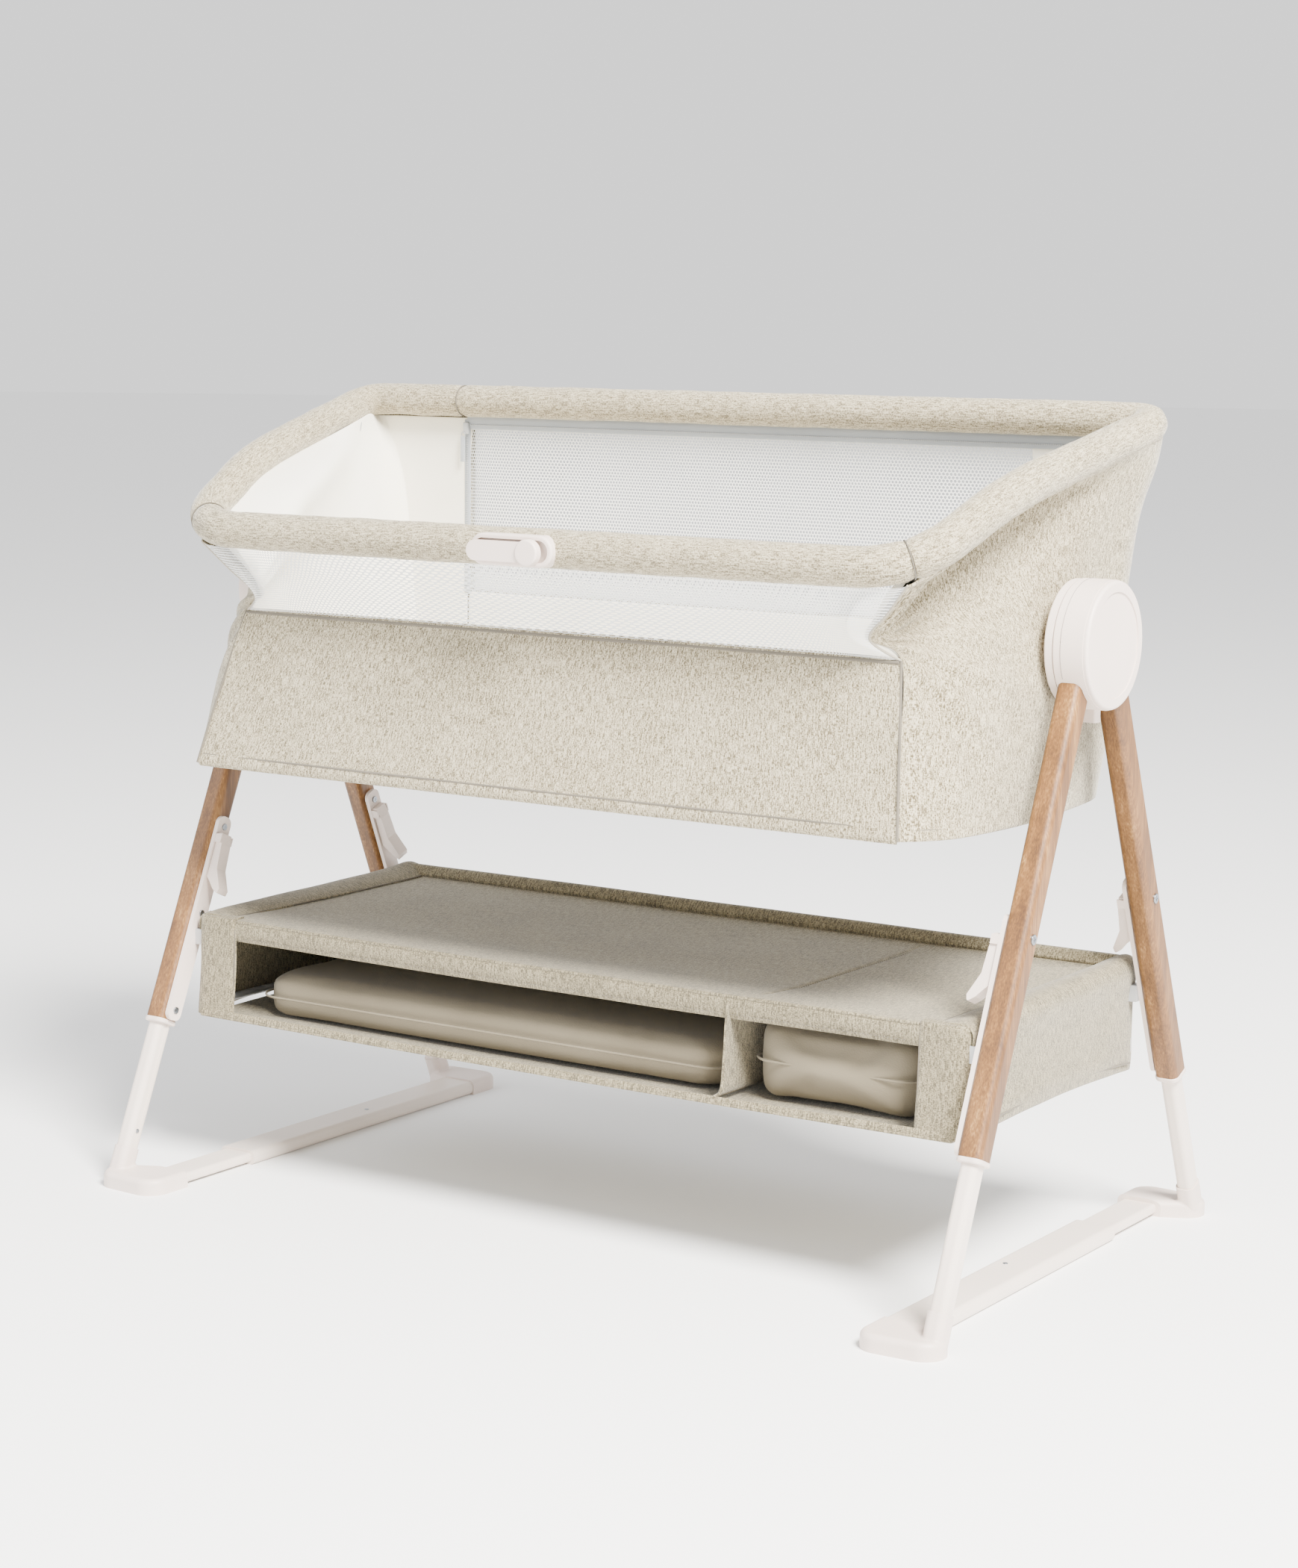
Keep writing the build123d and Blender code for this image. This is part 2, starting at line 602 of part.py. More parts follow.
def tub_panels():
    """Front, back and end panels of the tub."""
    shell = tub_shell()
    plane = front_side_plane()
    front = split(shell, bisect_by=plane, keep=Keep.TOP)
    rest = split(shell, bisect_by=plane, keep=Keep.BOTTOM)
    if front.center().Y > rest.center().Y:
        front, rest = rest, front
    low_z, high_z = BASE_Z - 40, WAIST_Z + 100
    middle_x = BASE_OUTLINE[3][0] - 28
    middle = box_between((-middle_x, 0, low_z), (middle_x, TUB_BACK_Y + 50, high_z))
    panels = {"tub_front_panel": front, "tub_back_panel": rest & middle}
    for name, side in SIDES.items():
        half = box_between((0, BASE_OUTLINE[0][1] - 50, low_z), (LEG_X + 40, TUB_BACK_Y + 50, high_z))
        flank = (rest - middle) & mirror_to(side, half)
        panels[f"tub_end_{name}"] = flank + mirror_to(side, end_panel_top()) - axle_hole(side)
    return panels


def tub_floor():
    face = outline_face(BASE_OUTLINE, BASE_Z, PANEL_THICK + 2.2)
    return extrude(face, FLOOR_THICK)


def mattress():
    low_z = BASE_Z + 13.0 + BASE_TUBE_RADIUS + 0.3
    x, front = BASE_OUTLINE[0][0] - 6, BASE_OUTLINE[0][1] + 35
    pad = box_between((-x, front, low_z), (x, TUB_BACK_Y - 30, low_z + MATTRESS_THICK))
    pad = fillet(pad.edges().filter_by(Axis.Z), 40.0)
    return fillet(pad.faces().sort_by(Axis.Z)[-1].edges(), 9.0)


def back_mesh():
    top = RIM_BACK[2] - BACK_PAD_RADIUS - 0.5
    x = WAIST_OUTLINE[3][0] - 10
    return box_between((-x, TUB_BACK_Y - 4, WAIST_Z), (x, TUB_BACK_Y - 2, top))


def front_mesh():
    """Slack mesh between the front panel and the lowered rim."""
    low = (WAIST_OUTLINE[0][1], WAIST_Z)
    high = (RIM_FRONT[1] + 3, RIM_FRONT[2] - FRONT_PAD_RADIUS - 1)
    half = WAIST_OUTLINE[0][0] - 28
    plane = Plane(origin=(-half, 0, 0), x_dir=(0, 1, 0), z_dir=(1, 0, 0))
    points = [low, high, (high[0] + 2, high[1]), (low[0] + 2, low[1])]
    return extrude(make_face(plane * Polyline(*points, close=True)), 2 * half, dir=(1, 0, 0))


# ---------------------------------------------------------------- latch

def latch_plane(y):
    """Upright plane facing the front, its normal pointing to -Y."""
    return Plane(origin=(LATCH_X, y, LATCH_Z), x_dir=(1, 0, 0), z_dir=(0, -1, 0))


def latch_pocket(gap):
    face = SlotOverall(LATCH_SIZE[0] + 2 * gap, LATCH_SIZE[1] + 2 * gap)
    return extrude(latch_plane(LATCH_FACE_Y + 16 + gap) * face, 40.0)


def latch_bezel():
    bezel = extrude(latch_plane(LATCH_FACE_Y + 16) * SlotOverall(*LATCH_SIZE), 16.0)
    bezel = fillet(bezel.faces().sort_by(Axis.Y)[0].edges(), 2.5)
    recess = SlotOverall(LATCH_SIZE[0] - 9, LATCH_SIZE[1] - 9)
    bezel -= extrude(latch_plane(LATCH_FACE_Y + 5) * recess, 20.0)
    bore = Pos(LEVER_X - LATCH_X, 0) * Circle(4.05)
    bezel -= extrude(latch_plane(LATCH_FACE_Y + 14) * bore, 20.0)
    return bezel - tube_along(front_path(0.0), FRAME_RADIUS, -rim_slope(-1))


def latch_lever():
    """Turn lever: a round boss with a paddle to its left."""
    boss = Pos(LEVER_X - LATCH_X, -1) * Circle(12.5)
    paddle = Pos(LEVER_X - LATCH_X - 32, -1) * SlotOverall(74, 19)
    lever = extrude(latch_plane(LATCH_FACE_Y - 0.4) * paddle, 6.0)
    lever += extrude(latch_plane(LATCH_FACE_Y - 0.4) * boss, 8.0)
    lever = fillet(lever.faces().sort_by(Axis.Y)[0].edges(), 1.8)
    stem = Pos(LEVER_X - LATCH_X, 0) * Circle(4.0)
    return lever + extrude(latch_plane(LATCH_FACE_Y + 13) * stem, 14.0)


# ---------------------------------------------------------------- build

def build():
    parts = {}
    for end_name, end in ENDS.items():
        for side_name, side in SIDES.items():
            where = f"{end_name}_{side_name}"
            parts[f"wood_leg_{where}"] = wooden_leg(side, end)
            parts[f"leg_tube_{where}"] = leg_tube(side, end)
            parts[f"foot_{where}"] = foot(side, end)
            parts[f"leg_bracket_{where}"] = leg_bracket(side, end)
            parts[f"height_trigger_{where}"] = trigger(side, end)
    collars = [leg_collar(side, end) for side in SIDES.values() for end in ENDS.values()]
    parts["leg_collars"] = Compound(children=collars)
    parts["bracket_screws"] = bracket_screws()
    parts["leg_bolts"] = leg_bolts()
    for name, side in SIDES.items():
        parts[f"floor_bar_sleeve_{name}"] = bar_sleeve(side)
        parts[f"floor_bar_tube_{name}"] = bar_tube(side)
        parts[f"hub_body_{name}"] = hub_body(side)
        parts[f"hub_cap_{name}"] = hub_cap(side)
        parts[f"hub_flange_{name}"] = hub_flange(side)
        parts[f"hub_release_{name}"] = hub_release(side)
        parts[f"shelf_frame_{name}"] = shelf_frame(side)
        parts[f"shelf_end_{name}"] = shelf_end(side)
    parts["shelf_sleeve"] = shelf_sleeve()
    parts["shelf_floor"] = shelf_floor()
    parts["shelf_divider"] = shelf_divider()
    pad_end = SHELF_X - PAD_END_GAP
    parts["storage_pad_long"] = storage_pad(-pad_end, DIVIDER_X - 10, LONG_PAD_HEIGHT)
    parts["storage_pad_folded"] = storage_pad(DIVIDER_X + 8, pad_end, FOLDED_PAD_HEIGHT)
    parts["tub_frame"] = back_frame()
    parts["drop_side_frame"] = front_frame()
    padding = front_padding()
    parts["rim_pad_back"] = back_pad()
    parts["rim_pad_front"] = front_pad(padding)
    for name, side in SIDES.items():
        parts[f"rim_pad_{name}"] = side_pad(padding, side)
    parts.update(tub_panels())
    parts["tub_floor"] = tub_floor()
    parts["mattress"] = mattress()
    parts["mesh_back"] = back_mesh()
    parts["mesh_front"] = front_mesh()
    parts["latch_bezel"] = latch_bezel()
    parts["latch_lever"] = latch_lever()
    return parts


os.makedirs("parts", exist_ok=True)
for name, shape in build().items():
    export_step(shape, f"parts/{name}.step")
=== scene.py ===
import json
from math import atan2, cos, pi, radians, sin, tan

import bmesh
import bpy
from mathutils import Matrix, Vector, noise


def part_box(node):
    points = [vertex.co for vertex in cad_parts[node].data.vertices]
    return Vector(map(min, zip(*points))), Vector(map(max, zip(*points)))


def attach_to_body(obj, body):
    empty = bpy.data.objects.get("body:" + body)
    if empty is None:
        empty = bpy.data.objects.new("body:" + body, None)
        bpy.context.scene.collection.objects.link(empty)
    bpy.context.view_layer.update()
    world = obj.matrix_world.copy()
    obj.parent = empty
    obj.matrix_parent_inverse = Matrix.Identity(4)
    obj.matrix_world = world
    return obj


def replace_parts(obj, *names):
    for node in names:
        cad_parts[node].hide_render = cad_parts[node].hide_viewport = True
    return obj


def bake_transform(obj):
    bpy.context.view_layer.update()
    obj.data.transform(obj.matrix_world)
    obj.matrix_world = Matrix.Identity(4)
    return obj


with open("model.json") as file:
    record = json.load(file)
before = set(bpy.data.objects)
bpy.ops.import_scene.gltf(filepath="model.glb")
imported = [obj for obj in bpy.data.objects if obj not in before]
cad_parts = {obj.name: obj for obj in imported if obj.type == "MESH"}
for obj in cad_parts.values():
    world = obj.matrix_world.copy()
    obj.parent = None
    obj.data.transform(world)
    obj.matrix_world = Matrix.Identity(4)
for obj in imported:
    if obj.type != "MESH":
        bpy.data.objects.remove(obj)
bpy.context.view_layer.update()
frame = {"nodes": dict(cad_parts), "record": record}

# A bedside bassinet on its stand, in metres, in the frame of the CAD model:
# X runs along the bassinet, -Y is the front, Z is up.
SIDES = {"left": -1, "right": 1}

# Rim: the corners of the tube inside the padding, on the right
RIM_BACK = Vector((0.475, 0.1348, 0.803))
RIM_BEND = Vector((0.4394, -0.1022, 0.7423))
RIM_FRONT = Vector((0.411, -0.2315, 0.6786))
RIM_REACHES = {"back": 0.032, "bend": 0.05, "front": 0.062}   # each bend, each way from its corner
HINGE_Y = 0.08
BACK_ROLL = 0.017       # radius of the padding along the back
FRONT_ROLL = 0.0185      # and along the front
ROLL_JOIN_Y = 0.104      # where the side padding takes over from the back padding
FRONT_SEAM_X = 0.404
MESH_EDGE_X = 0.343      # the back window reaches this far each way

# Tub
BASE_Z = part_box("tub_front_panel")[0][2]
WAIST_Z = 0.594
TUB_BACK_Y = 0.1515      # middle of the cloth across the back
NET_HALF_WIDTH = MESH_EDGE_X + 0.004

# Y of the liner at each height Z, clear of the frame inside the tub's walls
LINER_FRONT_Y = ((0.44, -0.1975), (0.47, -0.194), (0.53, -0.188), (0.594, -0.179), (0.61, -0.195),
                 (0.9, -0.26))
LINER_BACK_Y = ((0.44, 0.119), (0.462, 0.119), (0.49, 0.13), (0.54, 0.1435), (0.9, 0.1435))
CLOTH_THICK = 0.0024
LINER_THICK = 0.0016

HUB_Z = 0.602
LEG_X = 0.477
LEG_TILT = radians(22.96)
LEG_HUB_Y = 0.023

# Shelf
SHELF_X = 0.452
SHELF_FRONT_Y = -0.174
SHELF_BACK_Y = 0.174
SHELF_TOP_Z = 0.2685
SHELF_BASE_Z = 0.168
DIVIDER_X = 0.198
DECK_SEAM_X = 0.226      # seam across the shelf's top cloth
SHELF_HALF_Y = 0.178     # half the depth of the shelf's end walls

PAD_INSET = 0.004        # covers start this far inside their foam
PAD_SWELL = 0.006        # and swell by no more than this
PAD_PRESSURE = 3.0
NET_HOLE_SHARE = 0.66    # width of a hole in the net, as a share of its cell
TUBE_SCREW_Z = 0.052
HUB_LINE_RADIUS = 0.0602
CAMERA_SPOT = (1.7101, -2.61802, 0.87706)
CAMERA_LENS = 72.08


# ---------- materials

def srgb(text):
    """Linear RGBA of an sRGB hex colour."""
    channels = [int(text[i:i + 2], 16) / 255 for i in (0, 2, 4)]
    return (*(c / 12.92 if c <= 0.04045 else ((c + 0.055) / 1.055) ** 2.4 for c in channels), 1.0)


def node(tree, kind, settings=(), **inputs):
    """Adds a node. Inputs take values or sockets, and underscores stand for spaces in their names."""
    made = tree.nodes.new(kind)
    for key, value in dict(settings).items():
        setattr(made, key, value)
    for key, value in inputs.items():
        name = key.replace("_", " ")
        socket = made.inputs[int(name[1:])] if name[0] == "i" and name[1:].isdigit() else made.inputs[name]
        if isinstance(value, bpy.types.NodeSocket):
            tree.links.new(value, socket)
        else:
            socket.default_value = value
    return made


def ramp(tree, factor, stops):
    """Colour ramp from (place, hex) stops."""
    made = node(tree, "ShaderNodeValToRGB", i0=factor)
    elements = made.color_ramp.elements
    while len(elements) < len(stops):
        elements.new(0.5)
    for element, (place, colour) in zip(elements, stops):
        element.position = place
        element.color = srgb(colour)
    return made.outputs["Color"]


def start_material(name, **shader):
    """New material with its Principled shader and the shader's plain values set."""
    material = bpy.data.materials.new(name)
    material.use_nodes = True
    tree = material.node_tree
    principled = tree.nodes["Principled BSDF"]
    for key, value in shader.items():
        principled.inputs[key.replace("_", " ")].default_value = value
    return material, tree, principled


def stretched_noise(tree, coordinates, scale, detail=2.0, turn=(0, 0, 0)):
    """Noise whose grains are 1/scale metres long on each axis."""
    placed = node(tree, "ShaderNodeMapping", Vector=coordinates, Scale=scale, Rotation=turn)
    cloud = node(tree, "ShaderNodeTexNoise", Vector=placed.outputs["Vector"], Scale=1.0, Detail=detail)
    return cloud.outputs["Fac"]


def combine(tree, kind, first, second):
    return node(tree, "ShaderNodeMath", {"operation": kind}, i0=first, i1=second).outputs["Value"]


def total(tree, *shares):
    """Sum of several outputs, each times its share."""
    parts = [combine(tree, "MULTIPLY", output, share) for output, share in shares]
    whole = parts[0]
    for part in parts[1:]:
        whole = combine(tree, "ADD", whole, part)
    return whole


def bump(tree, principled, height, distance, strength=1.0):
    made = node(tree, "ShaderNodeBump", Height=height, Distance=distance, Strength=strength)
    tree.links.new(made.outputs["Normal"], principled.inputs["Normal"])


def melange_cloth(name, light, middle, dark, uv="cloth", slub=0.55):
    """Melange polyester weave: a light and dark crosshatch with longer slubs up the cloth, and soft
    fuzz at grazing angles. Threads are drawn about 0.7 mm wide, wider than real ones, so that they show."""
    material, tree, principled = start_material(name, Roughness=0.92, Sheen_Weight=0.25, Sheen_Roughness=0.5)
    if uv:
        spot = node(tree, "ShaderNodeUVMap", {"uv_map": uv}).outputs["UV"]
        warp_scale, weft_scale, slub_scale = (1500, 380, 1), (420, 1500, 1), (620, 95, 1)
    else:
        spot = node(tree, "ShaderNodeTexCoord").outputs["Object"]
        warp_scale, weft_scale, slub_scale = (1500, 1500, 380), (420, 420, 1500), (620, 620, 95)
    warp = stretched_noise(tree, spot, warp_scale)
    weft = stretched_noise(tree, spot, weft_scale)
    streaks = stretched_noise(tree, spot, slub_scale, 1.0)
    broad = stretched_noise(tree, spot, (22, 14, 14), 3.0)
    threads = total(tree, (warp, slub), (weft, 0.8 - slub), (streaks, 0.28), (broad, 0.06))
    colour = ramp(tree, threads, [(0.5, dark), (0.572, middle), (0.64, light)])
    tree.links.new(colour, principled.inputs["Base Color"])
    bump(tree, principled, threads, 0.0003, 0.7)
    return material


def oak(name, lean):
    """Oiled oak, planed and lacquered matt: long fine pores along the leg over broad warm and pale bands."""
    material, tree, principled = start_material(name, Roughness=0.48, Coat_Weight=0.08, Coat_Roughness=0.4)
    spot = node(tree, "ShaderNodeTexCoord").outputs["Object"]
    turn = (lean, 0, 0)
    bands = stretched_noise(tree, spot, (70, 55, 3.2), 3.0, turn)
    pores = stretched_noise(tree, spot, (760, 760, 38), 3.0, turn)
    flecks = stretched_noise(tree, spot, (420, 420, 90), 1.0, turn)
    grain = total(tree, (bands, 0.5), (pores, 0.4), (flecks, 0.1))
    colour = ramp(tree, grain, [(0.34, "4A2F18"), (0.47, "66431F"), (0.56, "7B542B"), (0.68, "A07A4B")])
    tree.links.new(colour, principled.inputs["Base Color"])
    bump(tree, principled, pores, 0.0004, 0.5)
    return material


def coated(name, colour, shade, rough, grain, depth, **shader):
    """Even coating: a faint drift of tone, and a fine surface texture of the given grain."""
    material, tree, principled = start_material(name, Roughness=rough, **shader)
    spot = node(tree, "ShaderNodeTexCoord").outputs["Object"]
    drift = stretched_noise(tree, spot, (9, 9, 9), 2.0)
    tree.links.new(ramp(tree, drift, [(0.3, shade), (0.7, colour)]), principled.inputs["Base Color"])
    bump(tree, principled, stretched_noise(tree, spot, (1 / grain,) * 3, 2.0), depth)
    return material


def plain_cloth(name, colour, shade, grain=0.0009):
    """Close woven smooth cloth: almost even, with a fine tooth and a soft sheen."""
    return coated(name, colour, shade, 0.85, grain, 0.0003, Sheen_Weight=0.15, Sheen_Roughness=0.6)


TUB_CLOTH = melange_cloth("beige_melange_weave", "BBB096", "968B70", "50462F", slub=0.5)
RAIL_CLOTH = melange_cloth("beige_melange_weave_rail", "BBB096", "968B70", "5C523D", slub=0.4)
SHELF_CLOTH = melange_cloth("taupe_melange_weave", "958B70", "766C53", "4B4432", slub=0.4)
LINER_CLOTH = plain_cloth("white_polyester_liner", "F0ECE0", "E9E4D6")
# Stowed covers are brushed microfibre, smooth and even, with a faint nap
PAD_CLOTH = plain_cloth("taupe_brushed_microfibre", "7A705B", "6E644F", 0.0015)
NET_CLOTH = plain_cloth("white_polyester_net", "E8E9E7", "DFE0DE")
SEAM_THREAD = plain_cloth("taupe_seam_thread", "665E50", "585144")
PALE_PIPING = plain_cloth("beige_bound_edge", "A39B8B", "958D7D")
ZIP_TAPE = plain_cloth("grey_zip_tape", "A4A9AE", "999EA4")
# Leg tubes and floor bars are powder coated: satin, with a slight orange peel
POWDER_COAT = coated("warm_white_powder_coat", "E2D5CA", "DBCDC1", 0.38, 0.0018, 0.00006, Coat_Weight=0.15)
# Hubs, feet and brackets are moulded ABS, spark-finished: soft highlights and a fine even tooth
MOULDED_ABS = coated("warm_white_moulded_abs", "DECFC6", "D7C7BD", 0.45, 0.0008, 0.00005)
# Hubs' split line: a dark strip, painted shadow of the groove between their moulded halves
SHADOW_GAP = coated("hub_split_painted_shadow", "8C847E", "857D77", 0.8, 0.001, 0.00002)
# Zinc-plated screws: cold and bright, with a brushed crown
ZINC_PLATE = coated("zinc_plated_steel", "9FA4AA", "8D9298", 0.32, 0.0006, 0.00005, Metallic=1.0)
GREY_STEEL = coated("grey_coated_steel", "B9BBBD", "ADAFB1", 0.4, 0.0012, 0.00004, Metallic=0.3)
OAK_FRONT = oak("oiled_oak_front", LEG_TILT)
OAK_BACK = oak("oiled_oak_back", -LEG_TILT)


# ---------- mesh tools

def through(points, count):
    """Smooth line of count spans that passes through the given points."""
    spans = len(points) - 1
    line = []
    for i in range(count + 1):
        place = i / count * spans
        k = min(int(place), spans - 1)
        f = place - k
        a, b, c, d = (points[min(max(k + j, 0), spans)] for j in (-1, 0, 1, 2))
        square, cube = 2 * a - 5 * b + 4 * c - d, 3 * b - a - 3 * c + d
        line.append(0.5 * (2 * b + (c - a) * f + square * f * f + cube * f ** 3))
    return line


def patch(columns, across, up):
    """Rows of points over a surface set out by columns, each listed from the bottom up."""
    tall = [through([Vector(p) for p in column], up) for column in columns]
    return [through([column[i] for column in tall], across) for i in range(up + 1)]


def distances(points):
    """How far along a line each of its points is."""
    reach = [0.0]
    for a, b in zip(points, points[1:]):
        reach.append(reach[-1] + (b - a).length)
    return reach


def even(points, step):
    """The same line with points a step apart."""
    reach = distances(points)
    count = max(2, round(reach[-1] / step))
    line, k = [], 0
    for i in range(count + 1):
        goal = reach[-1] * i / count
        while k < len(reach) - 2 and reach[k + 1] < goal:
            k += 1
        span = max(reach[k + 1] - reach[k], 1e-9)
        line.append(points[k].lerp(points[k + 1], min(max((goal - reach[k]) / span, 0), 1)))
    return line


def bent(corners, reaches, step=0.006):
    """Straight runs joined by smooth bends, as the rim tube is bent."""
    line = [corners[0]]
    for before, corner, after, reach in zip(corners, corners[1:], corners[2:], reaches):
        enter = corner + (before - corner).normalized() * reach
        leave = corner + (after - corner).normalized() * reach
        for i in range(17):
            t = i / 16
            line.append(enter * (1 - t) ** 2 + corner * 2 * t * (1 - t) + leave * t * t)
    line.append(corners[-1])
    return even(line, step)


def mirrored(points, side):
    return [Vector((side * p[0], p[1], p[2])) for p in points]


def make_object(name, mesh, material):
    mesh.materials.clear()
    mesh.materials.append(material)
    made = bpy.data.objects.new(name, mesh)
    bpy.context.scene.collection.objects.link(made)
    return made


def settle(piece, smooth_angle=50):
    """Applies the modifiers and leaves a plain, smoothly shaded mesh with its faces outwards."""
    material = piece.data.materials[0]
    ready = piece.evaluated_get(bpy.context.evaluated_depsgraph_get())
    mesh = bpy.data.meshes.new_from_object(ready)
    piece.modifiers.clear()
    spare, piece.data = piece.data, mesh
    bpy.data.meshes.remove(spare)
    solid = bmesh.new()
    solid.from_mesh(mesh)
    bmesh.ops.recalc_face_normals(solid, faces=solid.faces)
    solid.to_mesh(mesh)
    solid.free()
    mesh.name = piece.name
    mesh.materials.clear()
    mesh.materials.append(material)
    mesh.polygons.foreach_set("use_smooth", [True] * len(mesh.polygons))
    mesh.set_sharp_from_angle(angle=radians(smooth_angle))
    return piece


def grid_mesh(name, rows, closed=False):
    """Quads over rows of points, with a map in metres named cloth: across, then up."""
    wide, tall = len(rows[0]), len(rows)
    mesh = bpy.data.meshes.new(name)
    turn = wide if closed else wide - 1
    faces = [(i * wide + j, i * wide + (j + 1) % wide, (i + 1) * wide + (j + 1) % wide, (i + 1) * wide + j)
             for i in range(tall - 1) for j in range(turn)]
    mesh.from_pydata([p for row in rows for p in row], [], faces)
    across = distances([rows[tall // 2][j % wide] for j in range(turn + 1)])
    up = distances([row[wide // 2] for row in rows])
    uv = mesh.uv_layers.new(name="cloth").data
    k = 0
    for i in range(tall - 1):
        for j in range(turn):
            for a, b in ((j, i), (j + 1, i), (j + 1, i + 1), (j, i + 1)):
                uv[k].uv = (across[a], up[b])
                k += 1
    return mesh


def mesh_of(name, solid):
    mesh = bpy.data.meshes.new(name)
    solid.to_mesh(mesh)
    solid.free()
    return mesh


def capped(name, rows):
    """Closed mesh over rings of points, with a flat face at each end."""
    wide = len(rows[0])
    mesh = grid_mesh(name, rows, closed=True)
    solid = bmesh.new()
    solid.from_mesh(mesh)
    solid.verts.ensure_lookup_table()
    solid.faces.new(solid.verts[:wide][::-1])
    solid.faces.new(solid.verts[-wide:])
    solid.to_mesh(mesh)
    solid.free()
    return mesh


def attach(piece, body="bassinet"):
    """Gives a piece the body it moves with."""
    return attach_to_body(piece, body)


def cloth_sheet(name, rows, material, thick=CLOTH_THICK):
    """Sheet of cloth with a real thickness and softly rounded edges."""
    piece = make_object(name, grid_mesh(name, rows), material)
    wall = piece.modifiers.new("wall", "SOLIDIFY")
    wall.thickness = thick
    wall.offset = 0.0
    smooth = piece.modifiers.new("smooth", "SUBSURF")
    smooth.levels = smooth.render_levels = 1
    return settle(piece)


def section_frames(path):
    """Point, side and up vectors along a line that never stands upright."""
    made = []
    for i, point in enumerate(path):
        ahead = (path[min(i + 1, len(path) - 1)] - path[max(i - 1, 0)]).normalized()
        side = ahead.cross(Vector((0, 0, 1)))
        if side.length < 0.05:
            side = ahead.cross(Vector((0, 1, 0)))
        side.normalize()
        made.append((point, side, side.cross(ahead).normalized()))
    return made


def roll(name, path, radius, material, sides=28):
    """Closed padded roll along a line. radius(distance, angle) gives its size at each place."""
    angles = [2 * pi * k / sides for k in range(sides)]
    rows = [[point + (side * cos(a) + up * sin(a)) * radius(distance, a) for a in angles]
            for (point, side, up), distance in zip(section_frames(path), distances(path))]
    return settle(make_object(name, capped(name, rows), material), 75)


def cord_line(name, points, radius, material, sides=8, step=0.004):
    """Thin round piping or wire along a line."""
    return roll(name, even(points, step), lambda distance, angle: radius, material, sides)


def block(name, low, high, material, bevel=0.001, segments=3):
    """Moulded block between two corners, with rounded edges."""
    solid = bmesh.new()
    bmesh.ops.create_cube(solid, size=1.0)
    size = Vector(high) - Vector(low)
    middle = (Vector(high) + Vector(low)) / 2
    fitted = Matrix.Translation(middle) @ Matrix.Diagonal((*size, 1))
    bmesh.ops.transform(solid, verts=solid.verts, matrix=fitted)
    bmesh.ops.bevel(solid, geom=solid.edges[:], offset=bevel, segments=segments, affect="EDGES", profile=0.5)
    return settle(make_object(name, mesh_of(name, solid), material), 35)


# ---------- geometry node tools

def start_tree(name, sizes):
    """Geometry tree with one named number for each size."""
    tree = bpy.data.node_groups.new(name, "GeometryNodeTree")
    tree.interface.new_socket("Geometry", in_out="INPUT", socket_type="NodeSocketGeometry")
    for label in sizes:
        tree.interface.new_socket(label, in_out="INPUT", socket_type="NodeSocketFloat")
    tree.interface.new_socket("Geometry", in_out="OUTPUT", socket_type="NodeSocketGeometry")
    return tree, tree.nodes.new("NodeGroupInput").outputs


def end_tree(tree, geometry, material):
    real = node(tree, "GeometryNodeRealizeInstances", Geometry=geometry)
    painted = node(tree, "GeometryNodeSetMaterial", Geometry=real.outputs["Geometry"], Material=material)
    out = tree.nodes.new("NodeGroupOutput")
    tree.links.new(painted.outputs["Geometry"], out.inputs["Geometry"])


def grow(piece, tree, sizes):
    """Runs a geometry tree on a piece and keeps the result as its plain mesh."""
    modifier = piece.modifiers.new("grow", "NODES")
    modifier.node_group = tree
    for item in tree.interface.items_tree:
        if item.in_out == "INPUT" and item.name in sizes:
            modifier[item.identifier] = sizes[item.name]
    return settle(piece, 40)


def net_tree(material):
    """Netting: every point of a triangular lattice becomes a six-sided cell with a hole in it."""
    tree, given = start_tree("net", ["Hole share"])
    cells = node(tree, "GeometryNodeDualMesh", Mesh=given["Geometry"])
    rings = node(tree, "GeometryNodeExtrudeMesh", {"mode": "FACES"}, Mesh=cells.outputs["Dual Mesh"],
                 Offset_Scale=0.0, Individual=True)
    holes = node(tree, "GeometryNodeScaleElements", {"domain": "FACE"}, Geometry=rings.outputs["Mesh"],
                 Selection=rings.outputs["Top"], Scale=given["Hole share"])
    open_net = node(tree, "GeometryNodeDeleteGeometry", {"domain": "FACE"},
                    Geometry=holes.outputs["Geometry"], Selection=rings.outputs["Top"])
    end_tree(tree, open_net.outputs["Geometry"], material)
    return tree


def bead_tree(name, material):
    """Short beads set end to end along a line: stitches, or the teeth of a zip."""
    tree, given = start_tree(name, ["Pitch", "Length", "Width"])
    line = node(tree, "GeometryNodeMeshToCurve", Mesh=given["Geometry"])
    steps = node(tree, "GeometryNodeResampleCurve", {"mode": "LENGTH"}, Curve=line.outputs["Curve"],
                 Length=given["Pitch"])
    bead = node(tree, "GeometryNodeMeshUVSphere", Segments=6, Rings=4, Radius=0.5)
    size = node(tree, "ShaderNodeCombineXYZ", X=given["Length"], Y=given["Width"], Z=given["Width"])
    tangent = node(tree, "GeometryNodeInputTangent")
    aim = node(tree, "FunctionNodeAlignRotationToVector", {"axis": "X"}, Vector=tangent.outputs["Tangent"])
    beads = node(tree, "GeometryNodeInstanceOnPoints", Points=steps.outputs["Curve"],
                 Instance=bead.outputs["Mesh"], Rotation=aim.outputs["Rotation"], Scale=size.outputs["Vector"])
    end_tree(tree, beads.outputs["Instances"], material)
    return tree


STITCH_TREE = bead_tree("stitches", SEAM_THREAD)
TOOTH_TREE = bead_tree("zip_teeth", GREY_STEEL)
NET_TREE = net_tree(NET_CLOTH)


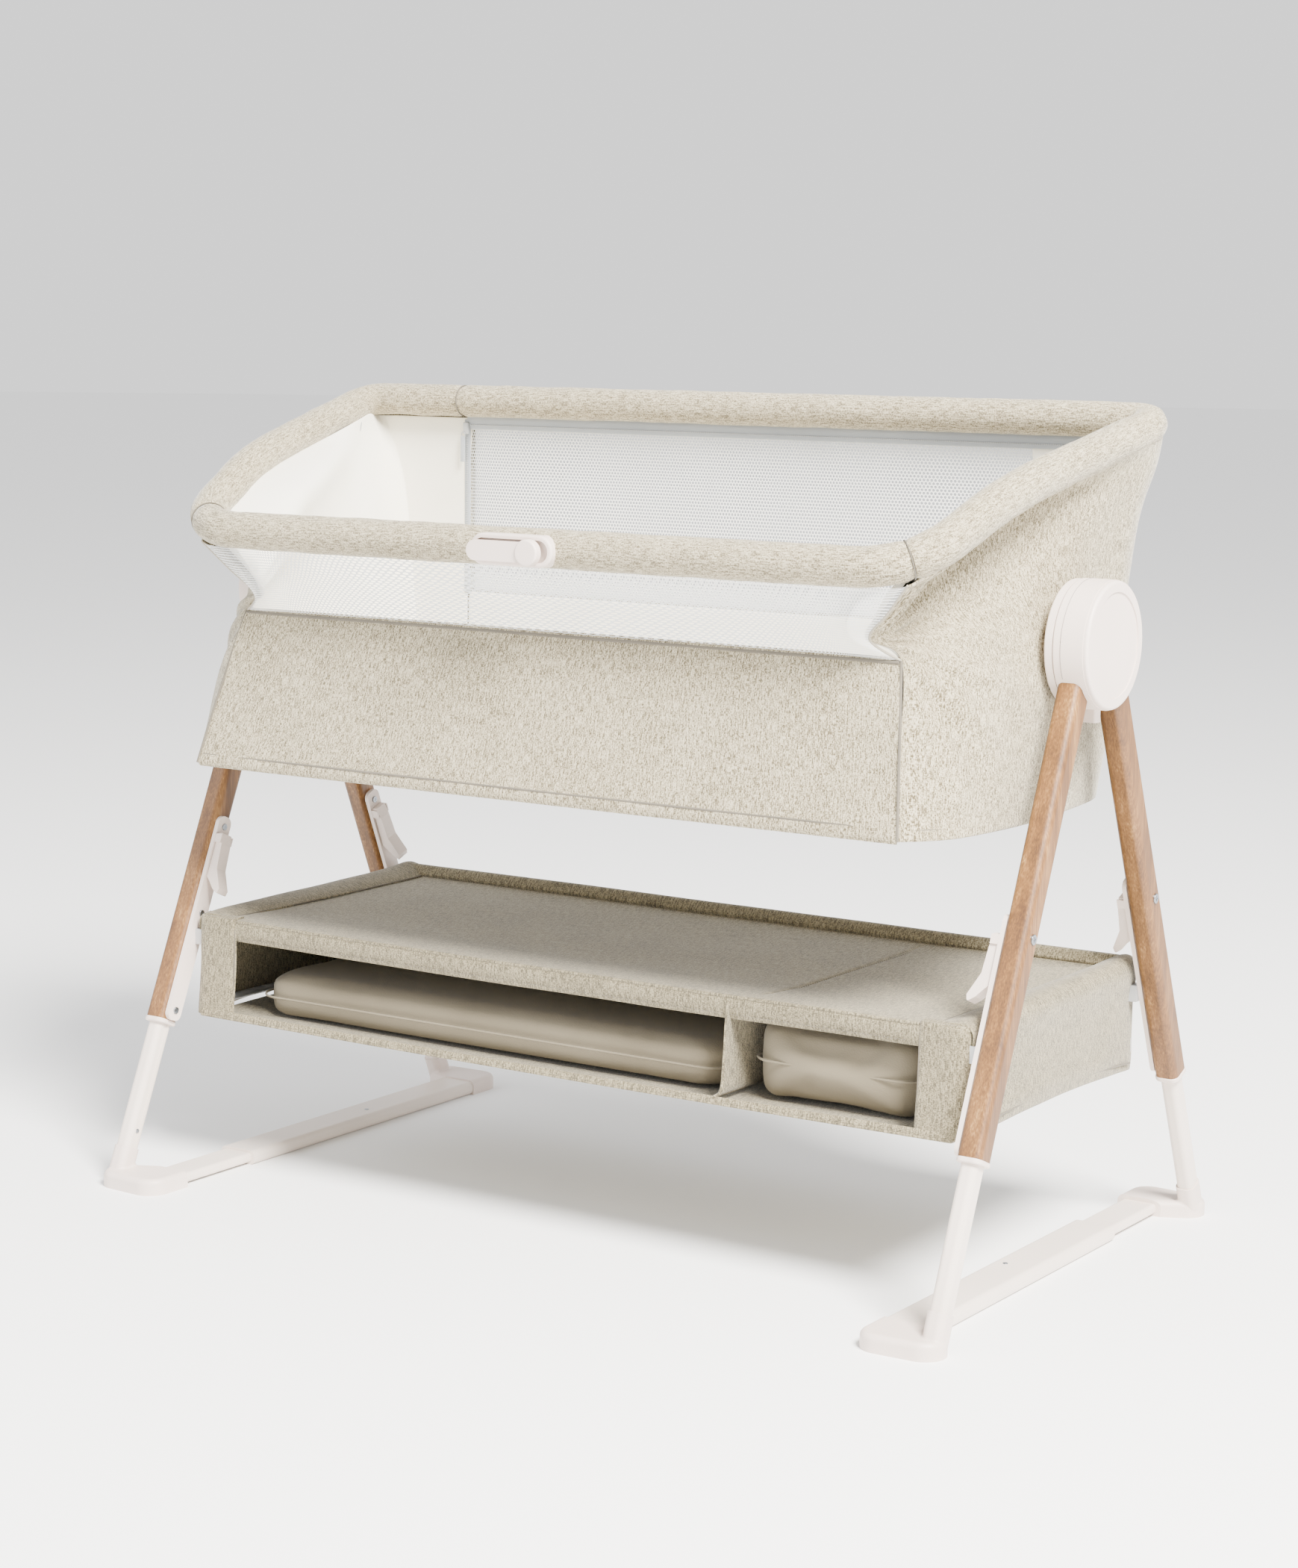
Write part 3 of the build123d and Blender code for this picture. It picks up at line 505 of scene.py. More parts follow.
def beads(name, points, tree, material, pitch, length, width):
    """Row of stitches or teeth along a line."""
    mesh = bpy.data.meshes.new(name)
    line = even(points, 0.003)
    mesh.from_pydata(line, [(i, i + 1) for i in range(len(line) - 1)], [])
    return grow(make_object(name, mesh, material), tree, {"Pitch": pitch, "Length": length, "Width": width})


def stitches(name, points, pitch=0.0042):
    return beads(name, points, STITCH_TREE, SEAM_THREAD, pitch, pitch * 0.72, 0.0009)


def lattice(name, rows):
    """Triangular lattice over rows of points, every other row shifted by half a step."""
    wide = len(rows[0])
    points = []
    for i, row in enumerate(rows):
        shift = 0.5 if i % 2 else 0.0
        for j in range(wide):
            after = row[min(j + 1, wide - 1)]
            points.append(row[j].lerp(after, shift))
    faces = []
    for i in range(len(rows) - 1):
        for j in range(wide - 1):
            a, b, c, d = i * wide + j, i * wide + j + 1, (i + 1) * wide + j + 1, (i + 1) * wide + j
            faces += [(a, b, d), (b, c, d)] if i % 2 == 0 else [(a, b, c), (a, c, d)]
    mesh = bpy.data.meshes.new(name)
    mesh.from_pydata(points, [], faces)
    return make_object(name, mesh, NET_CLOTH)


def netting(name, columns, width, height, cell):
    """Sheet of net over given columns. cell is the spacing of its holes, drawn larger than life."""
    across = round(width / cell)
    up = round(height / (cell * 0.866))
    return grow(lattice(name, patch(columns, across, up)), NET_TREE, {"Hole share": NET_HOLE_SHARE})


# ---------- rim

def rim_point(y):
    """Centre of the right side rail at one Y, on its straight runs."""
    low, high = (RIM_FRONT, RIM_BEND) if y < RIM_BEND.y else (RIM_BEND, RIM_BACK)
    return low.lerp(high, (y - low.y) / (high.y - low.y))


def rim_line():
    """The rim from the left hinge round the front to the right hinge."""
    corners = [rim_point(HINGE_Y), RIM_BEND, RIM_FRONT]
    front = mirrored(corners, -1) + corners[::-1]
    bend, nose = RIM_REACHES["bend"], RIM_REACHES["front"]
    return bent(front, [bend, nose, nose, bend])


def rail_radius(y):
    """The padding grows from the back to the front."""
    share = min(max((ROLL_JOIN_Y - y) / 0.2, 0), 1)
    return BACK_ROLL + (FRONT_ROLL - BACK_ROLL) * share


def padded_rail(name, path, seams=()):
    """Fabric-covered foam roll: slightly uneven, nipped in at each seam."""
    reach = distances(path)

    def size(distance, angle):
        k = min(range(len(reach)), key=lambda i: abs(reach[i] - distance))
        point = path[k]
        base = rail_radius(point.y)
        spot = Vector((distance * 26, cos(angle) * 1.3, sin(angle) * 1.3 + point.x))
        swell = 0.0007 * noise.noise(spot) + 0.0004 * noise.noise(spot * 3.1)
        nip = sum(0.0016 * max(0.0, 1 - abs(distance - seam) / 0.0045) for seam in seams)
        return base + swell - nip

    return roll(name, path, size, RAIL_CLOTH, 36)


def run_length(points):
    return sum((b - a).length for a, b in zip(points, points[1:]))


def nearest(path, x):
    """Index of the point of a line whose X is nearest to x."""
    return min(range(len(path)), key=lambda i: abs(path[i].x - x))


def seam_ring(name, path, index):
    """Stitched seam round a rail at one place along it."""
    point, side, up = section_frames(path)[index]
    size = rail_radius(point.y) - 0.0006
    ring = [point + (side * cos(a) + up * sin(a)) * size for a in (2 * pi * k / 40 for k in range(41))]
    return cord_line(name, ring, 0.0007, SEAM_THREAD, 6, 0.002)


def build_rim():
    front_loop = rim_line()
    front = [p for p in front_loop if abs(p.x) < FRONT_SEAM_X and p.y < -0.15]
    back_corners = [rim_point(ROLL_JOIN_Y), RIM_BACK]
    back = bent(mirrored(back_corners, -1) + back_corners[::-1], [RIM_REACHES["back"]] * 2)
    seam_at = nearest(back, -MESH_EDGE_X)
    seams = {"front": (0.0, run_length(front)), "back": (run_length(back[:seam_at + 1]),)}
    for name, path, body in (("front", front, "drop_side"), ("back", back, "bassinet")):
        rail = padded_rail(f"rail_cover_{name}", path, seams[name])
        attach(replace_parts(rail, f"rim_pad_{name}"), body)
    attach(seam_ring("rail_seam_back", back, seam_at))
    for name, side in SIDES.items():
        flank = [p for p in front_loop
                 if p.x * side >= FRONT_SEAM_X - 0.006 or (p.x * side > 0 and p.y > -0.15)]
        if side > 0:
            flank = flank[::-1]
        joint = rim_point(ROLL_JOIN_Y)
        slope = (joint - rim_point(HINGE_Y)).normalized()
        hinge_end = mirrored([joint + slope * d for d in (0.001, -0.008, -0.016)], side)
        flank = even(hinge_end + flank, 0.006)
        rail = padded_rail(f"rail_cover_{name}", flank, (run_length(flank),))
        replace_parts(rail, f"rim_pad_{name}")
        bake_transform(rail)
        index = nearest(front, side * (FRONT_SEAM_X - 0.003))
        attach(seam_ring(f"rail_seam_front_{name}", front, index), "drop_side")


# ---------- tub

def under_rail(y, angle, reach=0.0):
    """Point on the right rail's padding: angle 0 is its underside and 90 degrees its outer side."""
    centre = rim_point(y)
    size = rail_radius(y) - 0.0015 + reach
    return (centre.x + size * sin(radians(angle)), y, centre.z - size * cos(radians(angle)))


MESH_CORNER = (0.404, -0.2235, 0.6645)   # where the net's side seam meets the front rail
MESH_PINCH = (0.354, -0.2, 0.613)    # where the slack net is pulled in
PANEL_CORNER = (0.378, -0.184, 0.594)


def end_columns():
    """Right end of the tub, from the front seam round to the back window, each column from the bottom up."""
    b, w, back = BASE_Z, WAIST_Z, TUB_BACK_Y
    return [
        [(0.404, -0.231, b), (0.392, -0.209, 0.515), PANEL_CORNER, MESH_PINCH,
         (0.378, -0.211, 0.637), MESH_CORNER],
        [(0.421, -0.212, b), (0.408, -0.196, 0.515), (0.391, -0.177, w), (0.368, -0.186, 0.621),
         (0.392, -0.196, 0.657), under_rail(-0.2, 8)],
        [(0.436, -0.184, b), (0.427, -0.17, 0.515), (0.412, -0.156, w), (0.378, -0.16, 0.634),
         (0.395, -0.165, 0.676), under_rail(-0.165, 14)],
        [(0.444, -0.132, b), (0.44, -0.124, 0.515), (0.434, -0.114, w), (0.398, -0.116, 0.656),
         (0.4, -0.112, 0.708), under_rail(-0.112, 8)],
        [(0.447, -0.06, b), (0.449, -0.056, 0.515), (0.447, -0.05, w), (0.421, -0.05, 0.682),
         (0.42, -0.045, 0.733), under_rail(-0.045, 20)],
        [(0.441, 0.015, b), (0.448, 0.017, 0.515), (0.449, 0.02, w), (0.446, 0.022, 0.694),
         (0.45, 0.026, 0.746), under_rail(0.026, 38)],
        [(0.434, 0.078, b), (0.443, 0.078, 0.515), (0.449, 0.08, w), (0.454, 0.082, 0.705),
         (0.468, 0.084, 0.756), under_rail(0.085, 62)],
        [(0.428, 0.112, b), (0.438, 0.113, 0.515), (0.447, 0.114, w), (0.458, 0.116, 0.706),
         (0.474, 0.118, 0.762), (0.4815, 0.1185, 0.795)],
        [(0.416, 0.14, b), (0.427, 0.14, 0.515), (0.436, 0.141, w), (0.45, 0.142, 0.706),
         (0.465, 0.143, 0.762), (0.4715, 0.1415, 0.797)],
        [(0.392, 0.1505, b), (0.404, back, 0.515), (0.412, back, w), (0.424, back, 0.706),
         (0.436, back, 0.762), (0.44, 0.1505, 0.803)],
        [(MESH_EDGE_X, 0.1505, b), (MESH_EDGE_X, back, 0.515), (MESH_EDGE_X, back, w),
         (MESH_EDGE_X, back, 0.706), (MESH_EDGE_X, back, 0.762), (MESH_EDGE_X, 0.1505, 0.803)],
    ]


def crease(rows):
    """Soft drapes in the cloth, fanning from the pinch at the front toward the back of the rim."""
    hub = Vector((0.0, HUB_Z))
    pinch = Vector((MESH_PINCH[1], MESH_PINCH[2]))
    for row in rows:
        for j, p in enumerate(row):
            away = Vector((p.y, p.z)) - pinch
            reach = away.length
            angle = atan2(away.y, away.x)
            near = max(0.0, 1 - reach / 0.17) * min(1.0, reach / 0.02)
            fold = 0.0056 * near * sin(angle * 13 + 0.8) if p.y < 0.02 else 0.0
            dent = 0.003 * max(0.0, 1 - abs((Vector((p.y, p.z)) - hub).length - 0.085) / 0.04)
            drift = 0.0016 * noise.noise(Vector((p.y * 13, p.z * 17, p.x * 4)))
            if p.y < 0.14:
                p.x += (fold - dent + drift * min(1.0, (p.z - BASE_Z) / 0.04)) * min(1.0, j / 6)
    return rows


def level_at(stations, z):
    """Value at height z on a line of (height, value) stations."""
    for (z0, v0), (z1, v1) in zip(stations, stations[1:]):
        if z <= z1:
            return v0 + (v1 - v0) * max(0.0, (z - z0) / (z1 - z0))
    return stations[-1][1]


def inner_columns():
    """The liner, hung inside the steel frame, with its top inside the rail."""
    made = []
    for column in end_columns():
        drawn = []
        share = min(1.0, (column[2][0] - MESH_EDGE_X) / 0.09)
        limits = ((0.4, 0.008), (0.409, 0.008), (0.417, 0.008), (1, 0.02), (1, 0.02))
        for (x, y, z), (most, inset) in zip(column, limits):
            drawn.append(Vector((min(x - inset * share, most), y, z)))
        drawn[0].z += 0.006
        x, y, _ = column[-1]
        rail = rim_point(min(y, RIM_BACK.y))
        top = (x - 0.006, y - 0.004, rail.z - 0.018)
        if y < 0.13 and x > 0.4:
            top = (rail.x - 0.014, y, rail.z - 0.0115)
        below = drawn[-1].x
        inner_x = min((below + top[0]) / 2 - 0.002, below + (0.004 if y > 0.05 else -0.006))
        drawn[-1] = Vector((inner_x, y, min(drawn[-1].z, top[2] - 0.02)))
        made.append(drawn + [Vector(top)])
    return made


def keep_inside(rows):
    """Liner rows held between the front and back of the tub's frame."""
    for row in rows:
        for p in row:
            p.y = min(max(p.y, level_at(LINER_FRONT_Y, p.z) + 0.001), level_at(LINER_BACK_Y, p.z) - 0.001)
    return rows


def flip(rows, side):
    """Rows as set out for the right, or mirrored for the left."""
    return rows if side > 0 else [[Vector((-p.x, p.y, p.z)) for p in row] for row in rows]


def stretch(piece):
    """Cloth between the tub and its lowering side: bakes its placement into its mesh and gives it no body."""
    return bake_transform(piece)


def build_ends():
    for name, side in SIDES.items():
        rows = crease(patch(end_columns(), 96, 44))
        panel = cloth_sheet(f"end_panel_{name}", flip(rows, side), TUB_CLOTH)
        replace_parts(panel, f"tub_end_{name}")
        stretch(panel)
        rows = keep_inside(crease(patch(inner_columns(), 72, 32)))
        liner = cloth_sheet(f"end_liner_{name}", flip(rows, side), LINER_CLOTH, LINER_THICK)
        stretch(liner)
        seam = [(0.4045, -0.2322, BASE_Z + 0.001), (0.3925, -0.2102, 0.515), (0.3785, -0.1852, WAIST_Z)]
        seam = through(mirrored(seam, side), 24)
        attach(cord_line(f"front_corner_seam_{name}", seam, 0.0013, SEAM_THREAD))
        net_edge = mirrored([MESH_CORNER, (0.378, -0.2115, 0.6375), MESH_PINCH, PANEL_CORNER], side)
        hem = cord_line(f"net_side_hem_{name}", through(net_edge, 30), 0.0012, PALE_PIPING)
        stretch(hem)
        base_edge = [Vector(column[0]).lerp(Vector(column[1]), 0.13) for column in end_columns()]
        base_edge = through(mirrored(base_edge, side), 80)
        attach(cord_line(f"base_piping_{name}", base_edge, 0.0012, SEAM_THREAD))


def front_panel_rows():
    """Front panel, bowed out a little between its seams, with its lower edge turned under."""
    columns = []
    for share in (-1, -0.96, -0.8, -0.5, 0, 0.5, 0.8, 0.96, 1):
        bow = 0.0035 * (1 - share * share)
        columns.append([
            (share * 0.4, -0.224, BASE_Z - 0.0005),
            (share * 0.4035, -0.2305 - bow * 0.5, BASE_Z + 0.002),
            (share * 0.398, -0.219 - bow, 0.475),
            (share * 0.391, -0.208 - bow, 0.515),
            (share * 0.384, -0.196 - bow * 0.8, 0.56),
            (share * 0.378, -0.1845, WAIST_Z - 0.001),
            (share * 0.378, -0.1815, WAIST_Z + 0.0005),
        ])
    rows = patch(columns, 120, 30)
    for row in rows:
        for p in row:
            p.y -= 0.0012 * noise.noise(Vector((p.x * 9, p.z * 22, 3.1)))
    return rows


def build_front():
    panel = cloth_sheet("front_panel", front_panel_rows(), TUB_CLOTH, 0.003)
    attach(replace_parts(panel, "tub_front_panel"))
    top = [Vector((x, -0.1862, WAIST_Z - 0.0015)) for x in (-0.377, 0, 0.377)]
    bottom = [Vector((x, -0.2288 - 0.003 * (1 - (x / 0.4) ** 2), BASE_Z + 0.01))
              for x in (-0.399, -0.2, 0, 0.2, 0.399)]
    attach(cord_line("front_top_piping", top, 0.0015, SEAM_THREAD))
    attach(cord_line("front_base_piping", through(bottom, 60), 0.0011, SEAM_THREAD))
    row = [p + Vector((0, -0.0022, -0.008)) for p in top]
    attach(stitches("front_top_stitches", row))
    net = netting("front_net", front_net_columns(), 0.8, 0.088, 0.0034)
    stretch(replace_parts(net, "mesh_front"))
    heights = (BASE_Z + 0.008, 0.47, 0.5, 0.53, 0.56, WAIST_Z - 0.002)
    columns = [[(x, level_at(LINER_FRONT_Y, z), z) for z in heights] for x in (-0.385, -0.2, 0, 0.2, 0.385)]
    liner = cloth_sheet("front_liner", patch(columns, 60, 14), LINER_CLOTH, LINER_THICK)
    attach(liner, "bassinet")


def front_net_columns():
    """Slack net from the front panel up to the lowered rail, gathered into a fold at each end."""
    w, rail_z = WAIST_Z, RIM_FRONT.z - FRONT_ROLL + 0.002
    half = [
        [PANEL_CORNER, MESH_PINCH, (0.378, -0.2115, 0.6375), MESH_CORNER],
        [(0.371, -0.185, w), (0.349, -0.208, 0.613), (0.366, -0.221, 0.638), (0.392, -0.227, rail_z)],
        [(0.358, -0.185, w), (0.342, -0.214, 0.615), (0.352, -0.229, 0.638), (0.376, -0.23, rail_z)],
        [(0.342, -0.1845, w), (0.334, -0.206, 0.615), (0.339, -0.221, 0.637), (0.352, -0.23, rail_z)],
        [(0.31, -0.184, w), (0.308, -0.199, 0.615), (0.31, -0.213, 0.637), (0.316, -0.23, rail_z)],
        [(0.2, -0.1835, w), (0.2, -0.1965, 0.615), (0.201, -0.211, 0.637), (0.202, -0.23, rail_z)],
        [(0.0, -0.1835, w), (0.0, -0.1965, 0.615), (0.0, -0.211, 0.637), (0.0, -0.23, rail_z)],
    ]
    left = [[(-x, y, z) for x, y, z in column] for column in half]
    return left + half[-2::-1]


def build_back():
    stations = (-MESH_EDGE_X, -0.17, 0, 0.17, MESH_EDGE_X)
    back = TUB_BACK_Y
    columns = [[(x, back - 0.001, BASE_Z), (x, back, 0.5), (x, back, 0.56), (x, back, WAIST_Z + 0.004)]
               for x in stations]
    panel = cloth_sheet("back_panel", patch(columns, 80, 20), TUB_CLOTH, 0.003)
    attach(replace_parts(panel, "tub_back_panel"))
    heights = (BASE_Z + 0.008, 0.462, 0.49, 0.515, 0.54, WAIST_Z + 0.003)
    columns = [[(x, level_at(LINER_BACK_Y, z), z) for z in heights] for x in stations]
    liner = cloth_sheet("back_liner", patch(columns, 40, 12), LINER_CLOTH, LINER_THICK)
    attach(liner, "bassinet")
    top = RIM_BACK.z - BACK_ROLL + 0.003
    columns = [[(x, 0.147, WAIST_Z), (x, 0.148, 0.66), (x, 0.1475, 0.73), (x, 0.143, top)]
               for x in (-NET_HALF_WIDTH, -0.17, 0, 0.17, NET_HALF_WIDTH)]
    flat = (2 * MESH_EDGE_X + 0.008, top - WAIST_Z)
    net = netting("back_net", columns, *flat, 0.0037)
    attach(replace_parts(net, "mesh_back"), "bassinet")
    build_zip(top - 0.006)
    for name, side in SIDES.items():
        line = [Vector((side * MESH_EDGE_X, 0.1532, z)) for z in (BASE_Z, 0.6, top - 0.01)]
        attach(cord_line(f"back_seam_{name}", line, 0.0012, SEAM_THREAD))


def build_zip(z):
    """Zip round the top and left of the back window, with its slider and puller at the corner."""
    left, wide = -MESH_EDGE_X, 0.0105
    columns = [[(x, 0.1405, z - wide), (x, 0.1395, z), (x, 0.141, z + 0.006)]
               for x in (left, -0.17, 0, 0.17, MESH_EDGE_X + 0.05)]
    tape = cloth_sheet("zip_tape_top", patch(columns, 60, 6), ZIP_TAPE, 0.0011)
    columns = [[(x, 0.1415, WAIST_Z), (x, 0.1415, 0.7), (x, 0.1405, z)]
               for x in (left - 0.004, left, left + 0.004)]
    upright = cloth_sheet("zip_tape_side", patch(columns, 4, 30), ZIP_TAPE, 0.0011)
    for piece, flat in ((tape, (0.736, 0.017)), (upright, (0.0105, z - WAIST_Z))):
        attach(piece, "bassinet")
    teeth_z = z - wide * 0.55
    across = [Vector((MESH_EDGE_X + 0.045, 0.1388, teeth_z)), Vector((left + 0.006, 0.1388, teeth_z))]
    upward = [Vector((left, 0.1405, WAIST_Z + 0.004)), Vector((left, 0.1398, z - 0.02))]
    for name, path in (("zip_teeth_top", across), ("zip_teeth_side", upward)):
        attach(beads(name, path, TOOTH_TREE, GREY_STEEL, 0.0024, 0.0017, 0.0016), "bassinet")
    slider = block("zip_slider", (left - 0.0035, 0.136, z - 0.016), (left + 0.0035, 0.14, z - 0.003),
                   GREY_STEEL, 0.0012)
    puller = block("zip_puller", (left - 0.0055, 0.135, z - 0.046), (left - 0.0005, 0.1366, z - 0.018),
                   ZIP_TAPE, 0.0006)
    ring = [Vector((left - 0.002 + 0.0025 * sin(a), 0.1356, z - 0.0165 + 0.0032 * cos(a)))
            for a in (2 * pi * k / 16 for k in range(17))]
    link = cord_line("zip_link", ring, 0.0006, GREY_STEEL, 6, 0.001)
    for piece in (slider, puller, link):
        attach(piece, "bassinet")


# ---------- pads

def rounded_plan(x0, y0, x1, y1, corner):
    """Points round a rectangle with rounded corners."""
    plan = []
    for cx, cy, start in ((x1 - corner, y1 - corner, 0), (x0 + corner, y1 - corner, 90),
                          (x0 + corner, y0 + corner, 180), (x1 - corner, y0 + corner, 270)):
        for k in range(9):
            a = radians(start + k * 90 / 8)
            plan.append((cx + corner * cos(a), cy + corner * sin(a)))
    return plan


def pad_mesh(name, low, high, corner, crown):
    """Closed block with rounded plan corners, drawn in at its top and bottom edges."""
    (x0, y0, z0), (x1, y1, z1) = low, high
    plan = rounded_plan(x0, y0, x1, y1, corner)
    middle = Vector(((x0 + x1) / 2, (y0 + y1) / 2, 0))
    levels = [(0.0, 0.006), (0.1, 0.001), (0.5, 0.0), (0.9, 0.001), (1.0, crown)]
    solid = bmesh.new()
    rings = []
    for share, inset in levels:
        z = z0 + (z1 - z0) * share
        ring = []
        for x, y in plan:
            inward = (middle - Vector((x, y, 0))).normalized() * inset
            ring.append(solid.verts.new((x + inward.x, y + inward.y, z)))
        rings.append(ring)
    for low_ring, high_ring in zip(rings, rings[1:]):
        for k in range(len(plan)):
            after = (k + 1) % len(plan)
            solid.faces.new((low_ring[k], low_ring[after], high_ring[after], high_ring[k]))
    solid.faces.new(rings[0][::-1])
    solid.faces.new(rings[-1])
    return mesh_of(name, solid)


def stuff(piece, voxel, rest_z):
    """Swells a closed pad like a filled cover: cloth under pressure, held in and flat where it lies."""
    remesh = piece.modifiers.new("even", "REMESH")
    remesh.mode = "VOXEL"
    remesh.voxel_size = voxel
    settle(piece, 180)
    before = [v.co.copy() for v in piece.data.vertices]
    cloth = piece.modifiers.new("cloth", "CLOTH")
    cloth.settings.use_pressure = True
    cloth.settings.uniform_pressure_force = PAD_PRESSURE
    cloth.settings.effector_weights.gravity = 0
    cloth.settings.quality = 4
    cloth.collision_settings.use_collision = False
    for step in range(1, 21):
        bpy.context.scene.frame_set(step)
    ready = piece.evaluated_get(bpy.context.evaluated_depsgraph_get())
    after = [v.co.copy() for v in ready.data.vertices]
    piece.modifiers.remove(cloth)
    bpy.context.scene.frame_set(1)
    for vertex, old, new in zip(piece.data.vertices, before, after):
        move = new - old
        if move.length > PAD_SWELL:
            move = move.normalized() * PAD_SWELL
        vertex.co = old + move
    for vertex in piece.data.vertices:
        vertex.co.z = max(vertex.co.z, rest_z)
    smooth = piece.modifiers.new("smooth", "SMOOTH")
    smooth.iterations = 3
    finer = piece.modifiers.new("finer", "SUBSURF")
    finer.levels = finer.render_levels = 1
    return settle(piece, 180)


def covered_pad(name, foam, body, material, shape):
    """Filled cover over one foam block of the frame. Returns the corners it was drawn between."""
    corner, crown, drop, voxel = shape
    low, high = (Vector(c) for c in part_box(foam))
    low += Vector((PAD_INSET, PAD_INSET, 0.0005))
    high -= Vector((PAD_INSET, PAD_INSET, drop))
    pad = make_object(name, pad_mesh(name, low, high, corner, crown), material)
    stuff(pad, voxel, low.z)
    attach(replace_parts(pad, foam), body)
    return low, high


def build_pads():
    stowed = (0.03, 0.007, 0.006, 0.0055)
    for key, fill in (("long", 0.75), ("folded", 0.85)):
        body = f"pad_{key}"
        low, high = covered_pad(f"stowed_pad_{key}", f"storage_pad_{key}", body, PAD_CLOTH,
                                stowed)
        grow, z = 0.001, low.z + (high.z - low.z) * 0.52
        plan = rounded_plan(low.x - grow, low.y - grow, high.x + grow, high.y + grow, stowed[0])
        ring = [Vector((x, y, z)) for x, y in plan]
        piping = cord_line(f"pad_piping_{key}", ring + ring[:1], 0.0012, PAD_CLOTH, 6)
        attach(piping, body)
    covered_pad("mattress_pad", "mattress", "bassinet", LINER_CLOTH,
                (0.038, 0.005, 0.005, 0.006))


def build_base():
    """Covered board under the tub."""
    outline = [column[0] for column in end_columns()]
    right = [(x - 0.004, y + (0.004 if y < -0.2 else -0.003 if y > 0.14 else 0)) for x, y, _ in outline]
    right = [(0.0, right[0][1]), (right[0][0] - 0.03, right[0][1])] + right + [(0.0, right[-1][1])]
    ring = [Vector((x, y, 0)) for x, y in right] + [Vector((-x, y, 0)) for x, y in right[-2:0:-1]]
    line = through(ring + ring[:1], 160)[:-1]
    centre = Vector((0, -0.03, 0))
    levels = ((0.1, BASE_Z - 0.0012), (0.006, BASE_Z - 0.0008), (0.001, BASE_Z + 0.001),
              (0.001, BASE_Z + 0.004), (0.006, BASE_Z + 0.006), (0.1, BASE_Z + 0.0064))
    rows = [[p + (centre - p).normalized() * inset + Vector((0, 0, z)) for p in line] for inset, z in levels]
    board = settle(make_object("base_cover", capped("base_cover", rows), TUB_CLOTH), 60)
    attach(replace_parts(board, "tub_floor"), "bassinet")


# ---------- shelf

def deck_section(share):
    """Y and Z of the shelf's top cloth, from its front band to its back wall, at one share of its length."""
    sag = 0.0035 * (1 - share * share)
    front, back, top = SHELF_FRONT_Y, SHELF_BACK_Y, SHELF_TOP_Z
    return [
        (front + 0.001, top - 0.021 - sag * 0.6), (front - 0.002, top - 0.012 - sag * 0.4),
        (front - 0.0015, top - 0.002 - sag * 0.4), (front + 0.006, top + 0.0005 - sag * 0.5),
        (-0.09, top - 0.0015 - sag), (0.0, top - 0.002 - sag), (0.09, top - 0.0015 - sag),
        (back - 0.02, top - 0.001 - sag * 0.4), (back - 0.015, top + 0.004), (back - 0.008, top + 0.011),
        (back + 0.001, top + 0.008), (back + 0.003, top - 0.005), (back + 0.002, top - 0.05),
        (back + 0.004, SHELF_BASE_Z + 0.002),
    ]


def shelf_sheet(name, rows, over=None, thick=CLOTH_THICK):
    """Stretched sheet of the shelf's cloth. over names the node it replaces, if any."""
    sheet = cloth_sheet(name, rows, SHELF_CLOTH, thick)
    if over:
        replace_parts(sheet, over)
    attach(sheet, "stand")


def build_shelf():
    columns = []
    for share in (-1, -0.93, -0.8, -0.5, 0, 0.47, 0.53, 0.8, 0.93, 1):
        x = share * (SHELF_X - 0.012)
        columns.append([(x, y, z) for y, z in deck_section(share)])
    rows = patch(columns, 150, 90)
    for p in (p for row in rows for p in row):
        p.z += 0.0007 * noise.noise(Vector((p.x * 8, p.y * 12, 1.7)))
        p.z -= 0.0012 * max(0.0, 1 - abs(p.x - DECK_SEAM_X) / 0.004) if abs(p.y) < 0.15 else 0.0
    shelf_sheet("shelf_top_cloth", rows, "shelf_sleeve")
    columns, base = [], SHELF_BASE_Z
    for share in (-1, -0.9, -0.5, 0, 0.45, 0.9, 1):
        x = share * (SHELF_X - 0.01)
        sag = 0.004 * (1 - share * share)
        front = -0.184 + 0.003 * (1 - share * share)
        columns.append([(x, front, base + 0.0065 - sag), (x, front - 0.0015, base + 0.001 - sag),
                        (x, front + 0.008, base - 0.0015 - sag * 0.6), (x, -0.08, base - sag),
                        (x, 0.08, base - sag), (x, 0.178, base - 0.001)])
    shelf_sheet("shelf_floor_cloth", patch(columns, 120, 48), "shelf_floor")
    build_divider()
    for name, side in SIDES.items():
        build_shelf_end(name, side)
    seam = [Vector((DECK_SEAM_X, y, SHELF_TOP_Z - 0.0022))
            for y in (SHELF_FRONT_Y + 0.004, 0, SHELF_BACK_Y - 0.022)]
    beside = [p + Vector((0.004, 0, -0.0006)) for p in seam]
    attach(stitches("deck_seam_stitches", beside), "stand")
    hem = [Vector((share * 0.43, SHELF_FRONT_Y - 0.0035, SHELF_TOP_Z - 0.0165 - 0.0018 * (1 - share * share)))
           for share in (-0.9, -0.5, 0, 0.5, 0.9)]
    attach(stitches("deck_hem_stitches", through(hem, 40)), "stand")


def build_divider():
    """Cloth wall between the two bays, turned forward into a rounded lip."""
    columns, x = [], DIVIDER_X
    for y, lean in ((SHELF_FRONT_Y - 0.004, 0.004), (SHELF_FRONT_Y + 0.004, 0.001), (-0.06, 0), (0.06, 0),
                    (0.168, 0)):
        columns.append([(x - 0.006 - lean, y - 0.004, SHELF_BASE_Z + 0.003), (x - lean, y, 0.178),
                        (x, y, 0.21), (x + 0.001, y, 0.235), (x + 0.003, y, SHELF_TOP_Z - 0.006)])
    shelf_sheet("shelf_divider_cloth", patch(columns, 40, 20),
                "shelf_divider", 0.0022)


